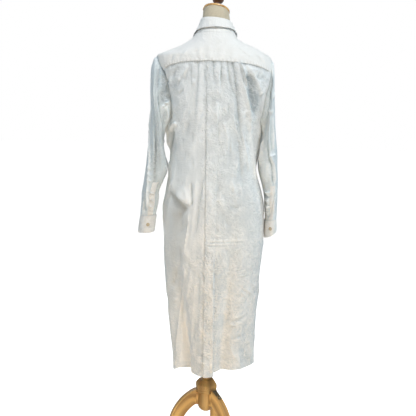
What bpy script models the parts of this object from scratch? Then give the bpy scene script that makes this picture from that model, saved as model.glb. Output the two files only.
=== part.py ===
"""A shirt dress on a limbless dress form with a turned wooden tripod.

Metres, +Z up, floor at z = 0.  The wearer's front faces -Y, so +Y is the back and +X the wearer's left.
The tables are in millimetres and degrees; MM turns millimetres into metres.
The cloth is built on one skin, read by turn and height: turn 0 is the centre back, 90 the wearer's
left side, 180 the centre front and -90 the right side.  Each panel is a stretch of that skin with a wall.
"""
import math

import bmesh
import bpy
import numpy as np
from mathutils import Vector

for old in list(bpy.data.objects):
    bpy.data.objects.remove(old, do_unlink=True)

MM = 0.001

# The pole stands a little off the origin, which lies under the middle of the whole object.
POLE_X = -11.0 * MM
POLE_Y = 17.0 * MM

WALL = 1.6 * MM             # thickness of the cloth's wall
SEAM = 0.3 * MM             # gap between two panels at a seam
LIE = 0.3 * MM              # gap under a piece that lies on another
FORM_GAP = 0.95 * MM        # between the dress form and the cloth that rests on it

# Armhole: a lens in the side of the skin.
UNDERARM = 1130.0 * MM
SHOULDER_TIP = 1365.0 * MM
ARMHOLE_TURN = 27.0         # half width of the lens
ARMHOLE_STEPS = 20          # stations all round it, from the underarm over the back
YOKE_CORNER = 7             # station where the back seam of the yoke meets the armhole
FRONT_CORNER = 12           # station where its front seam does

YOKE_SEAM_BACK = 1345.0 * MM
HEM_BACK = 316.0 * MM
HEM_SIDE = 330.0 * MM
HEM_FRONT = 340.0 * MM

PLACKET_HALF = 15.0 * MM
BUTTON_RADIUS = 5.75 * MM
BUTTON_THICK = 2.4 * MM
FRONT_BUTTONS = 9
FRONT_BUTTON_TOP = 1345.0 * MM
FRONT_BUTTON_PITCH = 95.0 * MM
CUFF_WALL = 2.0 * MM


def table(columns, rows):
    """Named columns out of rows of millimetres or degrees; 'turn' columns stay in degrees."""
    values = np.array(rows, float)
    return {name: values[:, i] * (1.0 if "turn" in name else MM) for i, name in enumerate(columns)}


def read(tab, column, at, key="height"):
    """Smooth reading between the rows of a table, without overshoot."""
    xs, ys = tab[key], tab[column]
    if xs[0] > xs[-1]:
        xs, ys = xs[::-1], ys[::-1]
    at = np.clip(at, xs[0], xs[-1])
    steps = np.diff(xs)
    slopes = np.diff(ys) / steps
    tangents = np.zeros(len(xs))
    tangents[0], tangents[-1] = slopes[0], slopes[-1]
    for i in range(1, len(xs) - 1):
        if slopes[i - 1] * slopes[i] > 0:
            tangents[i] = 2 * slopes[i - 1] * slopes[i] / (slopes[i - 1] + slopes[i])
    i = np.clip(np.searchsorted(xs, at, side="right") - 1, 0, len(xs) - 2)
    t = (at - xs[i]) / steps[i]
    return ((1 + 2 * t) * (1 - t) ** 2 * ys[i] + t * (1 - t) ** 2 * steps[i] * tangents[i]
            + t * t * (3 - 2 * t) * ys[i + 1] + t * t * (t - 1) * steps[i] * tangents[i + 1])


def ease(low, high, at):
    """0 below low, 1 above high, smooth between."""
    t = np.clip((at - low) / (high - low), 0.0, 1.0)
    return t * t * (3 - 2 * t)


# ---------------------------------------------------------------- the skin of the dress

# Half widths to the wearer's left and right of the pole, and depths behind and in front of it.
BODY = table(("height", "left", "right", "back", "front"), (
    (1490, 49, 46, 43, 53), (1470, 54, 52, 51, 56), (1447, 64, 61, 62, 62), (1429, 75, 69, 71, 71),
    (1412, 95, 93, 79, 79), (1398, 119, 129, 85, 85), (1386, 147, 153, 90, 90), (1374, 176, 175, 93, 94),
    (1365, 193, 185, 96, 97), (1345, 193, 190, 100, 104), (1318, 184, 195, 104, 112), (1300, 177, 197, 106, 117),
    (1222, 165, 182, 110, 130), (1130, 150, 154, 109, 126), (1057, 144, 148, 111, 119),
    (1007, 146, 147, 114, 117), (922, 156, 169, 121, 118), (871, 163, 179, 124, 119),
    (751, 158, 181, 125, 120), (646, 151, 173, 123, 118), (541, 138, 168, 120, 116),
    (434, 122, 164, 117, 114), (362, 111, 163, 114, 112), (300, 107, 163, 112, 112)))

# The box pleat down the centre back: its edges to the left and right of the pole, and how proud it stands.
PLEAT = table(("height", "left", "right", "proud"), (
    (1345, 32, -12, 2), (1130, 28, -7, 4), (938, 25, -9, 5), (741, 22, -12, 5), (489, 19, -10, 6),
    (316, 15, -13, 6)))
PLEAT_STEP = 2.0 * MM       # width of the fold at each edge of the pleat

# The largest hanging folds.  Each grows from nothing at its top to its swell at the hem.
FOLDS = table(("top", "turn_top", "turn_hem", "half_turn", "swell"), (
    (950, 2, 8, 14, 17), (900, 46, 44, 9, -27), (950, 72, 69, 10, 17), (1000, -22, -17, 7, -20),
    (820, -40, -37, 9, 3), (900, -55, -51, 9, -8), (900, 112, 112, 11, 10), (950, 134, 134, 10, -14),
    (900, 156, 156, 9, 9), (900, -112, -110, 11, 10), (950, -135, -134, 10, -12), (900, -157, -157, 9, 8)))


def fold_swell(turn, height):
    """How far the hanging folds push the skin out."""
    swell = np.zeros(np.broadcast(turn, height).shape)
    for top, turn_top, turn_hem, half, most in zip(*FOLDS.values()):
        grown = ease(0.0, 1.0, (top - height) / (top - HEM_BACK))
        centre = turn_top + (turn_hem - turn_top) * grown
        away = (turn - centre + 180.0) % 360.0 - 180.0
        swell += most * grown * np.exp(-((away / half) ** 2))
    return swell


def skin_base(turn, height):
    turn, height = np.broadcast_arrays(np.asarray(turn, float), np.asarray(height, float))
    sine, cosine = np.sin(np.radians(turn)), np.cos(np.radians(turn))
    side = np.where(sine >= 0, read(BODY, "left", height), read(BODY, "right", height))
    depth = np.where(cosine >= 0, read(BODY, "back", height), read(BODY, "front", height))
    out_x, out_y = sine / side, cosine / depth
    size = np.hypot(out_x, out_y)
    swell = fold_swell(turn, height)
    return np.stack([side * sine + swell * out_x / size, depth * cosine + swell * out_y / size, height], -1)


def skin_normal(turn, height):
    across = skin_base(np.asarray(turn) + 0.5, height) - skin_base(np.asarray(turn) - 0.5, height)
    up = skin_base(turn, np.asarray(height) + MM) - skin_base(turn, np.asarray(height) - MM)
    normal = np.cross(up, across)
    return normal / np.linalg.norm(normal, axis=-1, keepdims=True)


def skin(turn, height, out=0.0):
    """Points on the dress, moved out along the skin's normal."""
    out = np.asarray(out, float)
    return skin_base(turn, height) + skin_normal(turn, height) * out[..., None]


def turn_at(x, height):
    """The turn on the back where the skin passes a distance x to the left of the pole."""
    side = np.where(x >= 0, read(BODY, "left", height), read(BODY, "right", height))
    return np.degrees(np.arcsin(np.clip(x / side, -1.0, 1.0)))


# ---------------------------------------------------------------- seams as turns and heights

def armhole(station, shrink=0.0):
    """Turn and height of a station on the left armhole; shrink moves it in towards the lens's middle."""
    angle = 2 * math.pi * np.asarray(station, float) / ARMHOLE_STEPS
    middle, half = (UNDERARM + SHOULDER_TIP) / 2, (SHOULDER_TIP - UNDERARM) / 2
    return 90.0 - (ARMHOLE_TURN - shrink) * np.sin(angle), middle - half * (1 - shrink / 90.0) * np.cos(angle)


def hem_height(turn):
    back, side = np.cos(np.radians(turn)), np.abs(np.sin(np.radians(turn)))
    end = np.where(back >= 0, HEM_BACK, HEM_FRONT)
    return end + (HEM_SIDE - end) * side ** 2


NECK = table(("turn", "seam", "stand_top"), (
    (0, 1438, 1485), (60, 1440, 1483), (90, 1440, 1479), (106, 1436, 1472), (130, 1421, 1457),
    (155, 1405, 1442), (180, 1398, 1434)))
COLLAR_TILT = 5.0 * MM      # how much higher the collar's top stands on the left than in the middle


def neck_height(turn, column="seam"):
    away = np.abs((np.asarray(turn, float) + 180.0) % 360.0 - 180.0)
    return read(NECK, column, away, key="turn")


SIDE_REACH = 170.0 * MM                           # of the side seams from the pole, roughly
SEAM_TURN = math.degrees(SEAM / 2 / SIDE_REACH)   # half a seam's gap, as a turn at the side


# ---------------------------------------------------------------- mesh helpers

MATERIALS = {
    "cotton": ((0.84, 0.85, 0.86), 0.85, 0.0),
    "cotton_band": ((0.88, 0.88, 0.87), 0.85, 0.0),
    "button": ((0.62, 0.50, 0.36), 0.35, 0.0),
    "linen": ((0.80, 0.73, 0.60), 0.9, 0.0),
    "wood": ((0.55, 0.34, 0.14), 0.4, 0.0),
    "wood_light": ((0.80, 0.56, 0.26), 0.4, 0.0),
    "wood_dark": ((0.16, 0.07, 0.04), 0.35, 0.0),
    "steel": ((0.10, 0.09, 0.08), 0.45, 0.8),
}

pole_axis = bpy.data.objects.new("pole_axis", None)
pole_axis.location = (POLE_X, POLE_Y, 0.0)
bpy.context.scene.collection.objects.link(pole_axis)


def material(node, kind):
    colour, roughness, metallic = MATERIALS[kind]
    made = bpy.data.materials.new(node + "_" + kind)
    made.use_nodes = True
    shader = made.node_tree.nodes["Principled BSDF"]
    shader.inputs["Base Color"].default_value = (*colour, 1.0)
    shader.inputs["Roughness"].default_value = roughness
    shader.inputs["Metallic"].default_value = metallic
    made.diffuse_color = (*colour, 1.0)
    return made


def place(name, mesh_builder, kind, smooth_angle=40.0):
    """Turn a bmesh into a named object that hangs from the pole's axis."""
    bmesh.ops.recalc_face_normals(mesh_builder, faces=mesh_builder.faces)
    mesh = bpy.data.meshes.new(name)
    mesh_builder.to_mesh(mesh)
    mesh_builder.free()
    mesh.shade_smooth()
    mesh.set_sharp_from_angle(angle=math.radians(smooth_angle))
    mesh.materials.append(material(name, kind))
    made = bpy.data.objects.new(name, mesh)
    made.parent = pole_axis
    bpy.context.scene.collection.objects.link(made)
    return made


def quad(builder, a, b, c, d, first_diagonal):
    """Two triangles over four corners, cut along a-c or b-d."""
    if first_diagonal:
        builder.faces.new((a, b, c))
        builder.faces.new((a, c, d))
    else:
        builder.faces.new((a, b, d))
        builder.faces.new((b, c, d))


def wall(name, outer, inner, kind, wrap=False):
    """A closed wall between two grids of points of the same rows and columns."""
    rows, columns = outer.shape[:2]
    builder = bmesh.new()
    sheets = [[[builder.verts.new(p) for p in row] for row in grid] for grid in (outer, inner)]
    last = columns if wrap else columns - 1
    for r in range(rows - 1):
        for c in range(last):
            n = (c + 1) % columns
            corners = ((r, c), (r, n), (r + 1, n), (r + 1, c))
            first = (np.linalg.norm(outer[r, c] - outer[r + 1, n])
                     <= np.linalg.norm(outer[r, n] - outer[r + 1, c]))
            for sheet in sheets:
                quad(builder, *(sheet[i][j] for i, j in corners), first)
    over, under = sheets
    for r in (0, rows - 1):
        for c in range(last):
            n = (c + 1) % columns
            quad(builder, over[r][c], over[r][n], under[r][n], under[r][c], True)
    if not wrap:
        for c in (0, columns - 1):
            for r in range(rows - 1):
                quad(builder, over[r][c], over[r + 1][c], under[r + 1][c], under[r][c], True)
    return place(name, builder, kind)


def panel(name, turns, heights, kind, out=0.0, thick=WALL):
    """A stretch of the dress's skin; its wall lies behind the outer face."""
    out = np.broadcast_to(np.asarray(out, float), turns.shape)
    return wall(name, skin(turns, heights, out), skin(turns, heights, out - thick), kind)


def tube(name, rings, kind, smooth_angle=40.0):
    """A closed solid through rings of points, capped flat at both ends."""
    builder = bmesh.new()
    loops = [[builder.verts.new(p) for p in ring] for ring in rings]
    for low, high in zip(loops, loops[1:]):
        for c in range(len(low)):
            n = (c + 1) % len(low)
            quad(builder, low[c], low[n], high[n], high[c], True)
    for end in (loops[0], loops[-1]):
        builder.faces.new(end)
    return place(name, builder, kind, smooth_angle)


def turned(name, profile, kind, sides=24, at=(0.0, 0.0, 0.0), along=(0.0, 0.0, 1.0), smooth_angle=35.0):
    """A lathe-turned piece: rows of radius and distance along its axis, in metres."""
    axis = Vector(along).normalized()
    rotation = Vector((0, 0, 1)).rotation_difference(axis).to_matrix()
    rings = []
    for radius, lift in profile:
        ring = [Vector((radius * math.cos(2 * math.pi * i / sides),
                        radius * math.sin(2 * math.pi * i / sides), lift)) for i in range(sides)]
        rings.append([Vector(at) + rotation @ p for p in ring])
    return tube(name, rings, kind, smooth_angle)


def profile_mm(*rows):
    return [(radius * MM, lift * MM) for radius, lift in rows]


# ---------------------------------------------------------------- body of the dress

SIDE_ROWS = 12              # rows from the hem to the underarm
BACK_COLUMNS = 13           # from the pleat's edge to each side seam
BACK_CROWD = 0.92           # below 1 the columns crowd towards the side seam
FRONT_COLUMNS = 10
YOKE_ROWS = 6
YOKE_SEAM_BOW = 2.2         # how late the yoke's seam turns down towards the armhole
YOKE_PLEAT_SHARE = 0.35     # share of the yoke over which the pleat's lift dies away
FRONT_SEAM_DIP = 6.0 * MM   # how far the yoke's front seam falls towards the neck
FRONT_DEPTH = 115.0 * MM    # of the centre front from the pole, roughly
UNDERLAP_TURNS = (160.0, 170.0)     # between these turns the left front sinks under the right one


def rows_above(stations):
    """Share of the height from the underarm to the last station, for each station after the first."""
    heights = armhole(stations)[1]
    return (heights - heights[0]) / (heights[-1] - heights[0])


def body_heights(hem, top, upper_share):
    """Heights of one column: evenly to the underarm, then by the armhole's stations."""
    lower = np.linspace(hem, UNDERARM, SIDE_ROWS)
    upper = UNDERARM + upper_share[1:] * (top - UNDERARM)
    return np.concatenate([lower, upper])


BACK_STATIONS = np.arange(0, YOKE_CORNER + 1)
FRONT_STATIONS = np.arange(ARMHOLE_STEPS, FRONT_CORNER - 1, -1)


def side_turn(stations):
    """Turn of the panel's edge at each row: the side seam, then the armhole."""
    lower = np.full(SIDE_ROWS, 90.0)
    return np.concatenate([lower, armhole(stations)[0][1:]])


def yoke_seam_height(share):
    """Height of the back yoke seam, from the pleat (0) to the armhole corner (1)."""
    corner = armhole(YOKE_CORNER)[1]
    return YOKE_SEAM_BACK + (corner - YOKE_SEAM_BACK) * share ** YOKE_SEAM_BOW


def back_grid(side):
    """Turns, heights and shares of the back panel from the pleat's edge to one side (+1 left, -1 right)."""
    shares = np.linspace(0.0, 1.0, BACK_COLUMNS) ** BACK_CROWD
    upper = rows_above(BACK_STATIONS)
    edge_name = "left" if side > 0 else "right"
    turns, heights = [], []
    for share in shares:
        hem = hem_height(90.0 * share)
        column = body_heights(hem, yoke_seam_height(share), upper)
        edge = turn_at(read(PLEAT, edge_name, column) + side * PLEAT_STEP, column)
        limit = side * side_turn(BACK_STATIONS)
        turns.append(edge + (limit - edge) * share)
        heights.append(column)
    return np.array(turns).T, np.array(heights).T


def pleat_grid():
    """Turns, heights and lift of the raised strip between the pleat's edges, left to right."""
    column = body_heights(hem_height(0.0), YOKE_SEAM_BACK, rows_above(BACK_STATIONS))
    left, right = read(PLEAT, "left", column), read(PLEAT, "right", column)
    turns = np.stack([turn_at(left + (right - left) * share, column) for share in (0.0, 0.5, 1.0)], -1)
    heights = np.repeat(column[:, None], 3, axis=1)
    lift = np.repeat(read(PLEAT, "proud", column)[:, None], 3, axis=1)
    return turns, heights, lift


def back_columns():
    """The whole back panel, from the left side seam to the right one."""
    left_turns, left_heights = back_grid(1)
    right_turns, right_heights = back_grid(-1)
    pleat_turns, pleat_heights, lift = pleat_grid()
    turns = np.concatenate([left_turns[:, ::-1], pleat_turns, right_turns], axis=1)
    heights = np.concatenate([left_heights[:, ::-1], pleat_heights, right_heights], axis=1)
    out = np.concatenate([np.zeros(left_turns.shape), lift, np.zeros(right_turns.shape)], axis=1)
    return turns, heights, out


def inset_rows(heights, low, high):
    """Draw the first and last rows in by half a seam."""
    heights = heights.copy()
    heights[0] += low
    heights[-1] -= high
    return heights


def inset_side(turns, first, last):
    """Draw the first and last columns in by part of a seam."""
    turns = turns.copy()
    turns[:, 0] += first
    turns[:, -1] += last
    return turns


back_turns, back_heights, back_out = back_columns()
panel("back_panel", inset_side(back_turns, -SEAM_TURN, SEAM_TURN),
      inset_rows(back_heights, 0.0, SEAM / 2), "cotton", back_out)


def yoke_grid():
    """The yoke: its back seam, the top of each armhole and the front seam, up to the neckline."""
    low_turns, low_heights = back_turns[-1], back_heights[-1]
    lift = back_out[-1]
    over_turns, over_heights = armhole(np.arange(YOKE_CORNER + 1, FRONT_CORNER + 1))
    left = np.stack([over_turns, over_heights])[:, ::-1]
    right = np.stack([-over_turns, over_heights])
    low_turns = np.concatenate([left[0], low_turns, right[0]])
    low_heights = np.concatenate([left[1], low_heights, right[1]])
    lift = np.concatenate([np.zeros(left.shape[1]), lift, np.zeros(right.shape[1])])
    high_turns = low_turns.copy()
    high_heights = neck_height(high_turns)
    share = np.linspace(0.0, 1.0, YOKE_ROWS)[:, None]
    turns = low_turns + (high_turns - low_turns) * share
    heights = low_heights + (high_heights - low_heights) * share
    return turns, heights, lift * (1 - ease(0.0, YOKE_PLEAT_SHARE, share))


yoke_turns, yoke_heights, yoke_out = yoke_grid()
yoke_end_turn = 1.2 * SEAM_TURN      # the yoke ends nearer to the pole than the side seams
panel("back_yoke", inset_side(yoke_turns, -yoke_end_turn, yoke_end_turn),
      inset_rows(yoke_heights, SEAM / 2, SEAM / 2), "cotton_band", yoke_out)


def front_grid(side):
    """One front, from its side seam, armhole and yoke seam to the centre front."""
    shares = np.linspace(0.0, 1.0, FRONT_COLUMNS)
    upper = rows_above(FRONT_STATIONS)
    shoulder_turn = armhole(FRONT_CORNER)[0]
    seam_rows = np.linspace(0.0, 1.0, YOKE_ROWS)
    turns, heights = [], []
    edge_of_band = 180.0 - math.degrees(PLACKET_HALF / FRONT_DEPTH)
    for share in shares:
        hem = hem_height(90.0 + 90.0 * share)
        corner = armhole(FRONT_CORNER)[1] - FRONT_SEAM_DIP * share
        column = body_heights(hem, corner, upper)
        neck = neck_height(shoulder_turn + (180.0 - shoulder_turn) * share)
        column = np.concatenate([column, corner + seam_rows[1:] * (neck - corner)])
        limit = np.concatenate([side_turn(FRONT_STATIONS), np.full(YOKE_ROWS - 1, shoulder_turn)])
        turns.append(limit + (edge_of_band - limit) * share)
        heights.append(column)
    turns, heights = np.array(turns).T, np.array(heights).T
    half = np.degrees(PLACKET_HALF / read(BODY, "front", heights[:, -1:]))
    turns = np.concatenate([turns[:, :-1], 180.0 - half, 180.0 + 0 * half, 180.0 + half], axis=1)
    return turns * side, np.concatenate([heights, heights[:, -1:], heights[:, -1:]], axis=1)


def under_wrap(turns):
    """How far the left front sinks where the right front laps over it."""
    return -(WALL + 2 * LIE) * ease(*UNDERLAP_TURNS, np.abs(turns))


for side, name in ((1, "front_left"), (-1, "front_right")):
    grid_turns, grid_heights = front_grid(side)
    sunk = under_wrap(grid_turns) if side > 0 else 0.0
    panel(name, inset_side(grid_turns, side * SEAM_TURN, 0.0),
          inset_rows(grid_heights, 0.0, SEAM / 2), "cotton", sunk)

right_turns, right_heights = front_grid(-1)
band_turns, band_heights = right_turns[:, -3:], right_heights[:, -3:]
PLACKET_OUT = LIE + WALL
PLACKET_TOP_GAP = 1.5 * MM  # to the collar's stand
panel("front_placket", band_turns, inset_rows(band_heights, 0.0, PLACKET_TOP_GAP), "cotton_band", PLACKET_OUT)


# ---------------------------------------------------------------- collar

STAND_COLUMNS = 30
FALL_COLUMNS = 27
LAP_TURN = 12.0             # how far the stand's ends lap past the centre front
STAND_SEAM = 1.5 * SEAM     # half the gap under the stand
STAND_LAP_TURNS = (150.0, 165.0)    # between these turns the stand's right end rises over the left one
FALL_END_TURN = 167.0
FALL_LAP_TURNS = (140.0, 160.0)     # the same for the turned-down collar
FALL_CURL = 0.8             # below 1 the collar leaves the stand early


def collar_stand():
    turns = np.linspace(180.0 + LAP_TURN, -180.0 - LAP_TURN, STAND_COLUMNS)
    lap = (WALL + LIE) * ease(*STAND_LAP_TURNS, -turns)
    share = np.array([0.0, 0.5, 1.0])[:, None]
    low = neck_height(turns) + STAND_SEAM
    top = neck_height(turns, "stand_top") + COLLAR_TILT * np.sin(np.radians(turns))
    heights = low + (top - low) * share
    panel("collar_stand", turns + 0 * heights, heights, "cotton_band", lap + 0 * heights)


# The turned-down collar: its top edge, its lower edge, and how far that edge stands off the skin.
FALL = table(("top_turn", "top", "low_turn", "low", "lift"), (
    (0, 1487, 0, 1453, 9), (40, 1486, 38, 1451, 8), (80, 1482, 80, 1441, 5.5), (100, 1476, 103, 1431, 5),
    (130, 1460, 130, 1412, 5), (150, 1447, 147, 1398, 6), (167, 1437, 161, 1378, 7)))


def collar_fall():
    side = np.linspace(-FALL_END_TURN, FALL_END_TURN, FALL_COLUMNS)
    along = np.abs(side)
    top = read(FALL, "top", along, key="top_turn") + COLLAR_TILT * np.sin(np.radians(side))
    low = read(FALL, "low", along, key="top_turn")
    low_turn = np.sign(side) * read(FALL, "low_turn", along, key="top_turn")
    lift = read(FALL, "lift", along, key="top_turn")
    share = np.array([0.0, 0.35, 0.7, 1.0])[:, None]
    turns = side + (low_turn - side) * share
    heights = top + (low - top) * share
    start = WALL + 2 * LIE + (WALL + LIE) * ease(*FALL_LAP_TURNS, -side)
    panel("collar_fall", turns, heights, "cotton_band", start + (lift - start) * share ** FALL_CURL)


collar_stand()
collar_fall()


# ---------------------------------------------------------------- sleeves and cuffs

SLEEVE_COLUMNS = ("outer_x", "outer_z", "inner_x", "inner_z", "depth", "middle_y", "twist_turn")
SLEEVES = {
    "left": table(SLEEVE_COLUMNS, (
        (209, 1332, 160, 1114, 66, 0, 0), (213, 1270, 164, 1098, 72, -1, 0),
        (211, 1190, 166, 1078, 75, -2, 0), (213, 1122, 161, 1050, 76, -3, 0),
        (219, 1055, 154, 1015, 75, -4, 0), (224, 1000, 152, 985, 73, -4, 0),
        (230, 953, 164, 953, 70, -2, 0), (235, 918, 177, 920, 66, 0, 0),
        (237, 886, 179, 888, 60, 2, 0), (240, 839, 187, 840, 46, 4, 0))),
    "right": table(SLEEVE_COLUMNS, (
        (-194, 1332, -162, 1112, 66, 0, 0), (-198, 1260, -160, 1092, 72, -1, 0),
        (-203, 1180, -158, 1070, 75, -2, 0), (-209, 1115, -156, 1046, 76, -3, 0),
        (-216, 1050, -154, 1016, 75, -4, 0), (-219, 1000, -160, 982, 73, -4, -6),
        (-221, 955, -171, 945, 70, -2, -14), (-222, 920, -179, 908, 66, 0, -22),
        (-222, 880, -183, 868, 60, 2, -30), (-222, 838, -184, 828, 46, 4, -36))),
}
CUFFS = {
    "left": table(SLEEVE_COLUMNS, (
        (240, 838.6, 187, 839.6, 46, 4, 0), (244, 810, 190, 812, 45, 5, 0), (247, 780, 193, 784, 44, 6, 0))),
    "right": table(SLEEVE_COLUMNS, (
        (-222, 837.6, -184, 827.6, 46, 4, -36), (-223, 815, -184, 799, 45, 5, -37),
        (-224, 795, -185, 769, 44, 6, -38))),
}
CUFF_STATION = {"left": 4.2, "right": 6.0}      # where the cuff laps, as a station round the sleeve
CUFF_LAP = 22.0                                 # turn of the lap to each side of its middle
CUFF_STEPS = 22
CUFF_OVERLAP_TURNS = (240.0, 300.0)             # of the strip's length, where its end rises over its start
CUFF_CLEAR = 0.08                               # share of its last row that a placket stops short of the cuff
PLACKET_STATION = {"left": 3, "right": 5}       # first of the three stations under a sleeve's placket
PLACKET_ROWS = slice(7, 11)                     # of the sleeve's rings, down to the cuff
HEAD_SHRINK = 0.25                              # turn by which the sleeve's head lies inside the armhole
HEAD_LEAN = 3.0                                 # the same for the ring that its wall may lean towards


def sleeve_rings(tab, station):
    """Rings through a sleeve's sections at the given stations round it."""
    angle = 2 * math.pi * station / ARMHOLE_STEPS + np.radians(tab["twist_turn"])[:, None]
    high = np.stack([tab["outer_x"], 0 * tab["outer_x"], tab["outer_z"]], -1)
    low = np.stack([tab["inner_x"], 0 * tab["inner_x"], tab["inner_z"]], -1)
    middle = (high + low) / 2
    middle[:, 1] = tab["middle_y"]
    reach = (high - low) / 2
    points = middle[:, None] - reach[:, None] * np.cos(angle)[..., None]
    points[..., 1] += tab["depth"][:, None] * np.sin(angle)
    return points


def grid_normals(grid, wrap):
    """Outward normals of a tube's grid of points."""
    if wrap:
        across = np.roll(grid, -1, axis=1) - np.roll(grid, 1, axis=1)
    else:
        across = np.gradient(grid, axis=1)
    along = np.gradient(grid, axis=0)
    normal = np.cross(across, along)
    normal /= np.linalg.norm(normal, axis=-1, keepdims=True)
    from_axis = grid - grid.mean(axis=1, keepdims=True)
    outwards = np.sign((normal * from_axis).sum(axis=-1).sum())
    return normal * outwards


def sleeve(side):
    """A sleeve from the armhole to the cuff; returns its outer points and their normals."""
    sign = 1 if side == "left" else -1
    stations = np.arange(ARMHOLE_STEPS, dtype=float)
    seam_turn, seam_height = armhole(stations, HEAD_SHRINK)
    edge = skin(sign * seam_turn, seam_height)
    grid = np.concatenate([edge[None], sleeve_rings(SLEEVES[side], stations)])
    normal = grid_normals(grid, True)
    # At the armhole the wall never leans back under the panel's edge.
    far_turn, far_height = armhole(stations, HEAD_LEAN)
    away = skin(sign * far_turn, far_height) - edge
    away /= np.linalg.norm(away, axis=-1, keepdims=True)
    inwards = -normal[0]
    lean = np.minimum((inwards * away).sum(-1), 0.0)
    inwards -= lean[:, None] * away
    inwards /= np.linalg.norm(inwards, axis=-1, keepdims=True)
    normal[0] = -inwards
    wall("sleeve_" + side, grid, grid - normal * WALL, "cotton", wrap=True)
    return grid, normal


def sleeve_placket(side, grid, normal):
    """The band over the sleeve's opening, made from the sleeve's own points moved out."""
    columns = slice(PLACKET_STATION[side], PLACKET_STATION[side] + 3)
    points, away = grid[PLACKET_ROWS, columns].copy(), normal[PLACKET_ROWS, columns]
    points[-1] += (points[-2] - points[-1]) * CUFF_CLEAR
    wall("sleeve_placket_" + side, points + away * (LIE + WALL), points + away * LIE, "cotton_band")


def cuff(side):
    """A cuff is one strip round the wrist whose end laps over its start."""
    middle = CUFF_STATION[side] / ARMHOLE_STEPS * 360.0
    turns = np.linspace(middle - CUFF_LAP, middle + 360.0 + CUFF_LAP, CUFF_STEPS)
    stations = turns / 360.0 * ARMHOLE_STEPS
    grid = sleeve_rings(CUFFS[side], stations)
    normal = grid_normals(grid, False)
    lap = (CUFF_WALL + LIE) * ease(*CUFF_OVERLAP_TURNS, turns - turns[0])
    outer = grid + normal * (lap - (WALL - CUFF_WALL) / 2)[None, :, None]
    wall("cuff_" + side, outer, outer - normal * CUFF_WALL, "cotton_band")
    return outer, normal


def button(name, at, along):
    """A flat round button with a rounded rim, its back at the given point."""
    radius, thick = BUTTON_RADIUS, BUTTON_THICK
    profile = [(radius * 0.86, 0.0), (radius, thick * 0.35), (radius, thick * 0.7), (radius * 0.84, thick)]
    turned(name, profile, "button", sides=12, at=at, along=along)


for side in ("left", "right"):
    sleeve_points, sleeve_normals = sleeve(side)
    sleeve_placket(side, sleeve_points, sleeve_normals)
    cuff_points, cuff_normals = cuff(side)
    last = cuff_points.shape[1] - 2
    seat = (cuff_points[1, last] + cuff_points[1, last - 1]) / 2
    facing = cuff_normals[1, last] + cuff_normals[1, last - 1]
    facing /= np.linalg.norm(facing)
    button("cuff_button_" + side, seat + facing * LIE, facing)

for i in range(FRONT_BUTTONS):
    button_height = FRONT_BUTTON_TOP - i * FRONT_BUTTON_PITCH
    facing = skin_normal(-180.0, button_height)
    seat = skin(-180.0, button_height, PLACKET_OUT + LIE)
    button("front_button_{:02d}".format(i + 1), seat, facing)


# ---------------------------------------------------------------- dress form

FORM_SIDES = 36
FORM_LAP_TURNS = (145.0, 160.0)     # between these turns the form draws in under the lapped fronts
FORM = table(("height", "left", "right", "back", "front"), (
    (744, 132, 150, 92, 94), (752, 143, 161, 104, 106), (775, 149, 166, 111, 112), (820, 151, 168, 114, 113),
    (900, 143, 154, 108, 104), (960, 131, 134, 98, 96), (1020, 121, 121, 92, 94), (1100, 132, 132, 97, 108),
    (1200, 150, 152, 103, 121), (1250, 157, 160, 102, 119), (1300, 164, 166, 98, 107),
    (1340, 168, 168, 91, 95), (1360, 165, 164, 88, 90), (1374, 155, 155, 85, 87)))
SHOULDER_ROWS = [MM * height for height in (1386, 1392, 1398, 1405, 1412, 1420, 1429)]
# The neck leans forward: radius, the ring's middle, and its tilt forwards and to the right.
NECK_RINGS = table(("radius", "middle_x", "middle_y", "height", "turn_forward", "turn_right"), (
    (56, 1, 0, 1448, 2, 1), (47.5, 1, -3, 1472, 7, 4), (45, 1, -7, 1492, 13, 6), (42.5, 2, -12, 1514, 18, 8)))


def tilt_matrix(forward, right):
    """Turn about X that leans the top forwards, then about Y that lowers the right side."""
    f, r = math.radians(forward), math.radians(right)
    about_x = np.array([[1, 0, 0], [0, math.cos(f), -math.sin(f)], [0, math.sin(f), math.cos(f)]])
    about_y = np.array([[math.cos(r), 0, -math.sin(r)], [0, 1, 0], [math.sin(r), 0, math.cos(r)]])
    return about_y @ about_x


def dress_form():
    turns = np.arange(FORM_SIDES) * 360.0 / FORM_SIDES
    sine, cosine = np.sin(np.radians(turns)), np.cos(np.radians(turns))
    rings = []
    for height, left, right, back, front in zip(*FORM.values()):
        rings.append(np.stack([np.where(sine >= 0, left, right) * sine,
                               np.where(cosine >= 0, back, front) * cosine, height + 0 * sine], -1))
    from_back = np.abs((turns + 180.0) % 360.0 - 180.0)
    clear = WALL + FORM_GAP + (WALL + 3 * LIE) * ease(*FORM_LAP_TURNS, from_back)
    for height in SHOULDER_ROWS:
        rings.append(skin(turns, height, -clear))
    for radius, x, y, height, forward, right in zip(*NECK_RINGS.values()):
        flat = radius * np.stack([sine, cosine, 0 * sine], -1)
        rings.append(np.array((x, y, height)) + flat @ tilt_matrix(forward, right).T)
    tube("form_torso", rings, "linen")


dress_form()
neck_end = [NECK_RINGS[column][-1] for column in ("middle_x", "middle_y", "height")]
neck_axis = tilt_matrix(NECK_RINGS["turn_forward"][-1], NECK_RINGS["turn_right"][-1])[:, 2]
turned("neck_cap", profile_mm((43, 0.3), (44.5, 1.5), (44.5, 5.5), (42.5, 7.5), (20, 8.5)), "wood_light", 32,
       neck_end, neck_axis)
finial_profile = profile_mm((16, 8.8), (17.5, 11), (17.5, 15), (12, 19), (8.5, 25), (10, 30), (17, 36),
                            (20, 43), (18.5, 51), (12, 58), (4, 61.5))
turned("neck_finial", finial_profile, "wood_dark", 20, neck_end, neck_axis)


# ---------------------------------------------------------------- stand

HUB_TOP = 256.0 * MM
POLE_RADIUS = 14.0 * MM
FORM_BOTTOM = FORM["height"][0]

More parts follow.
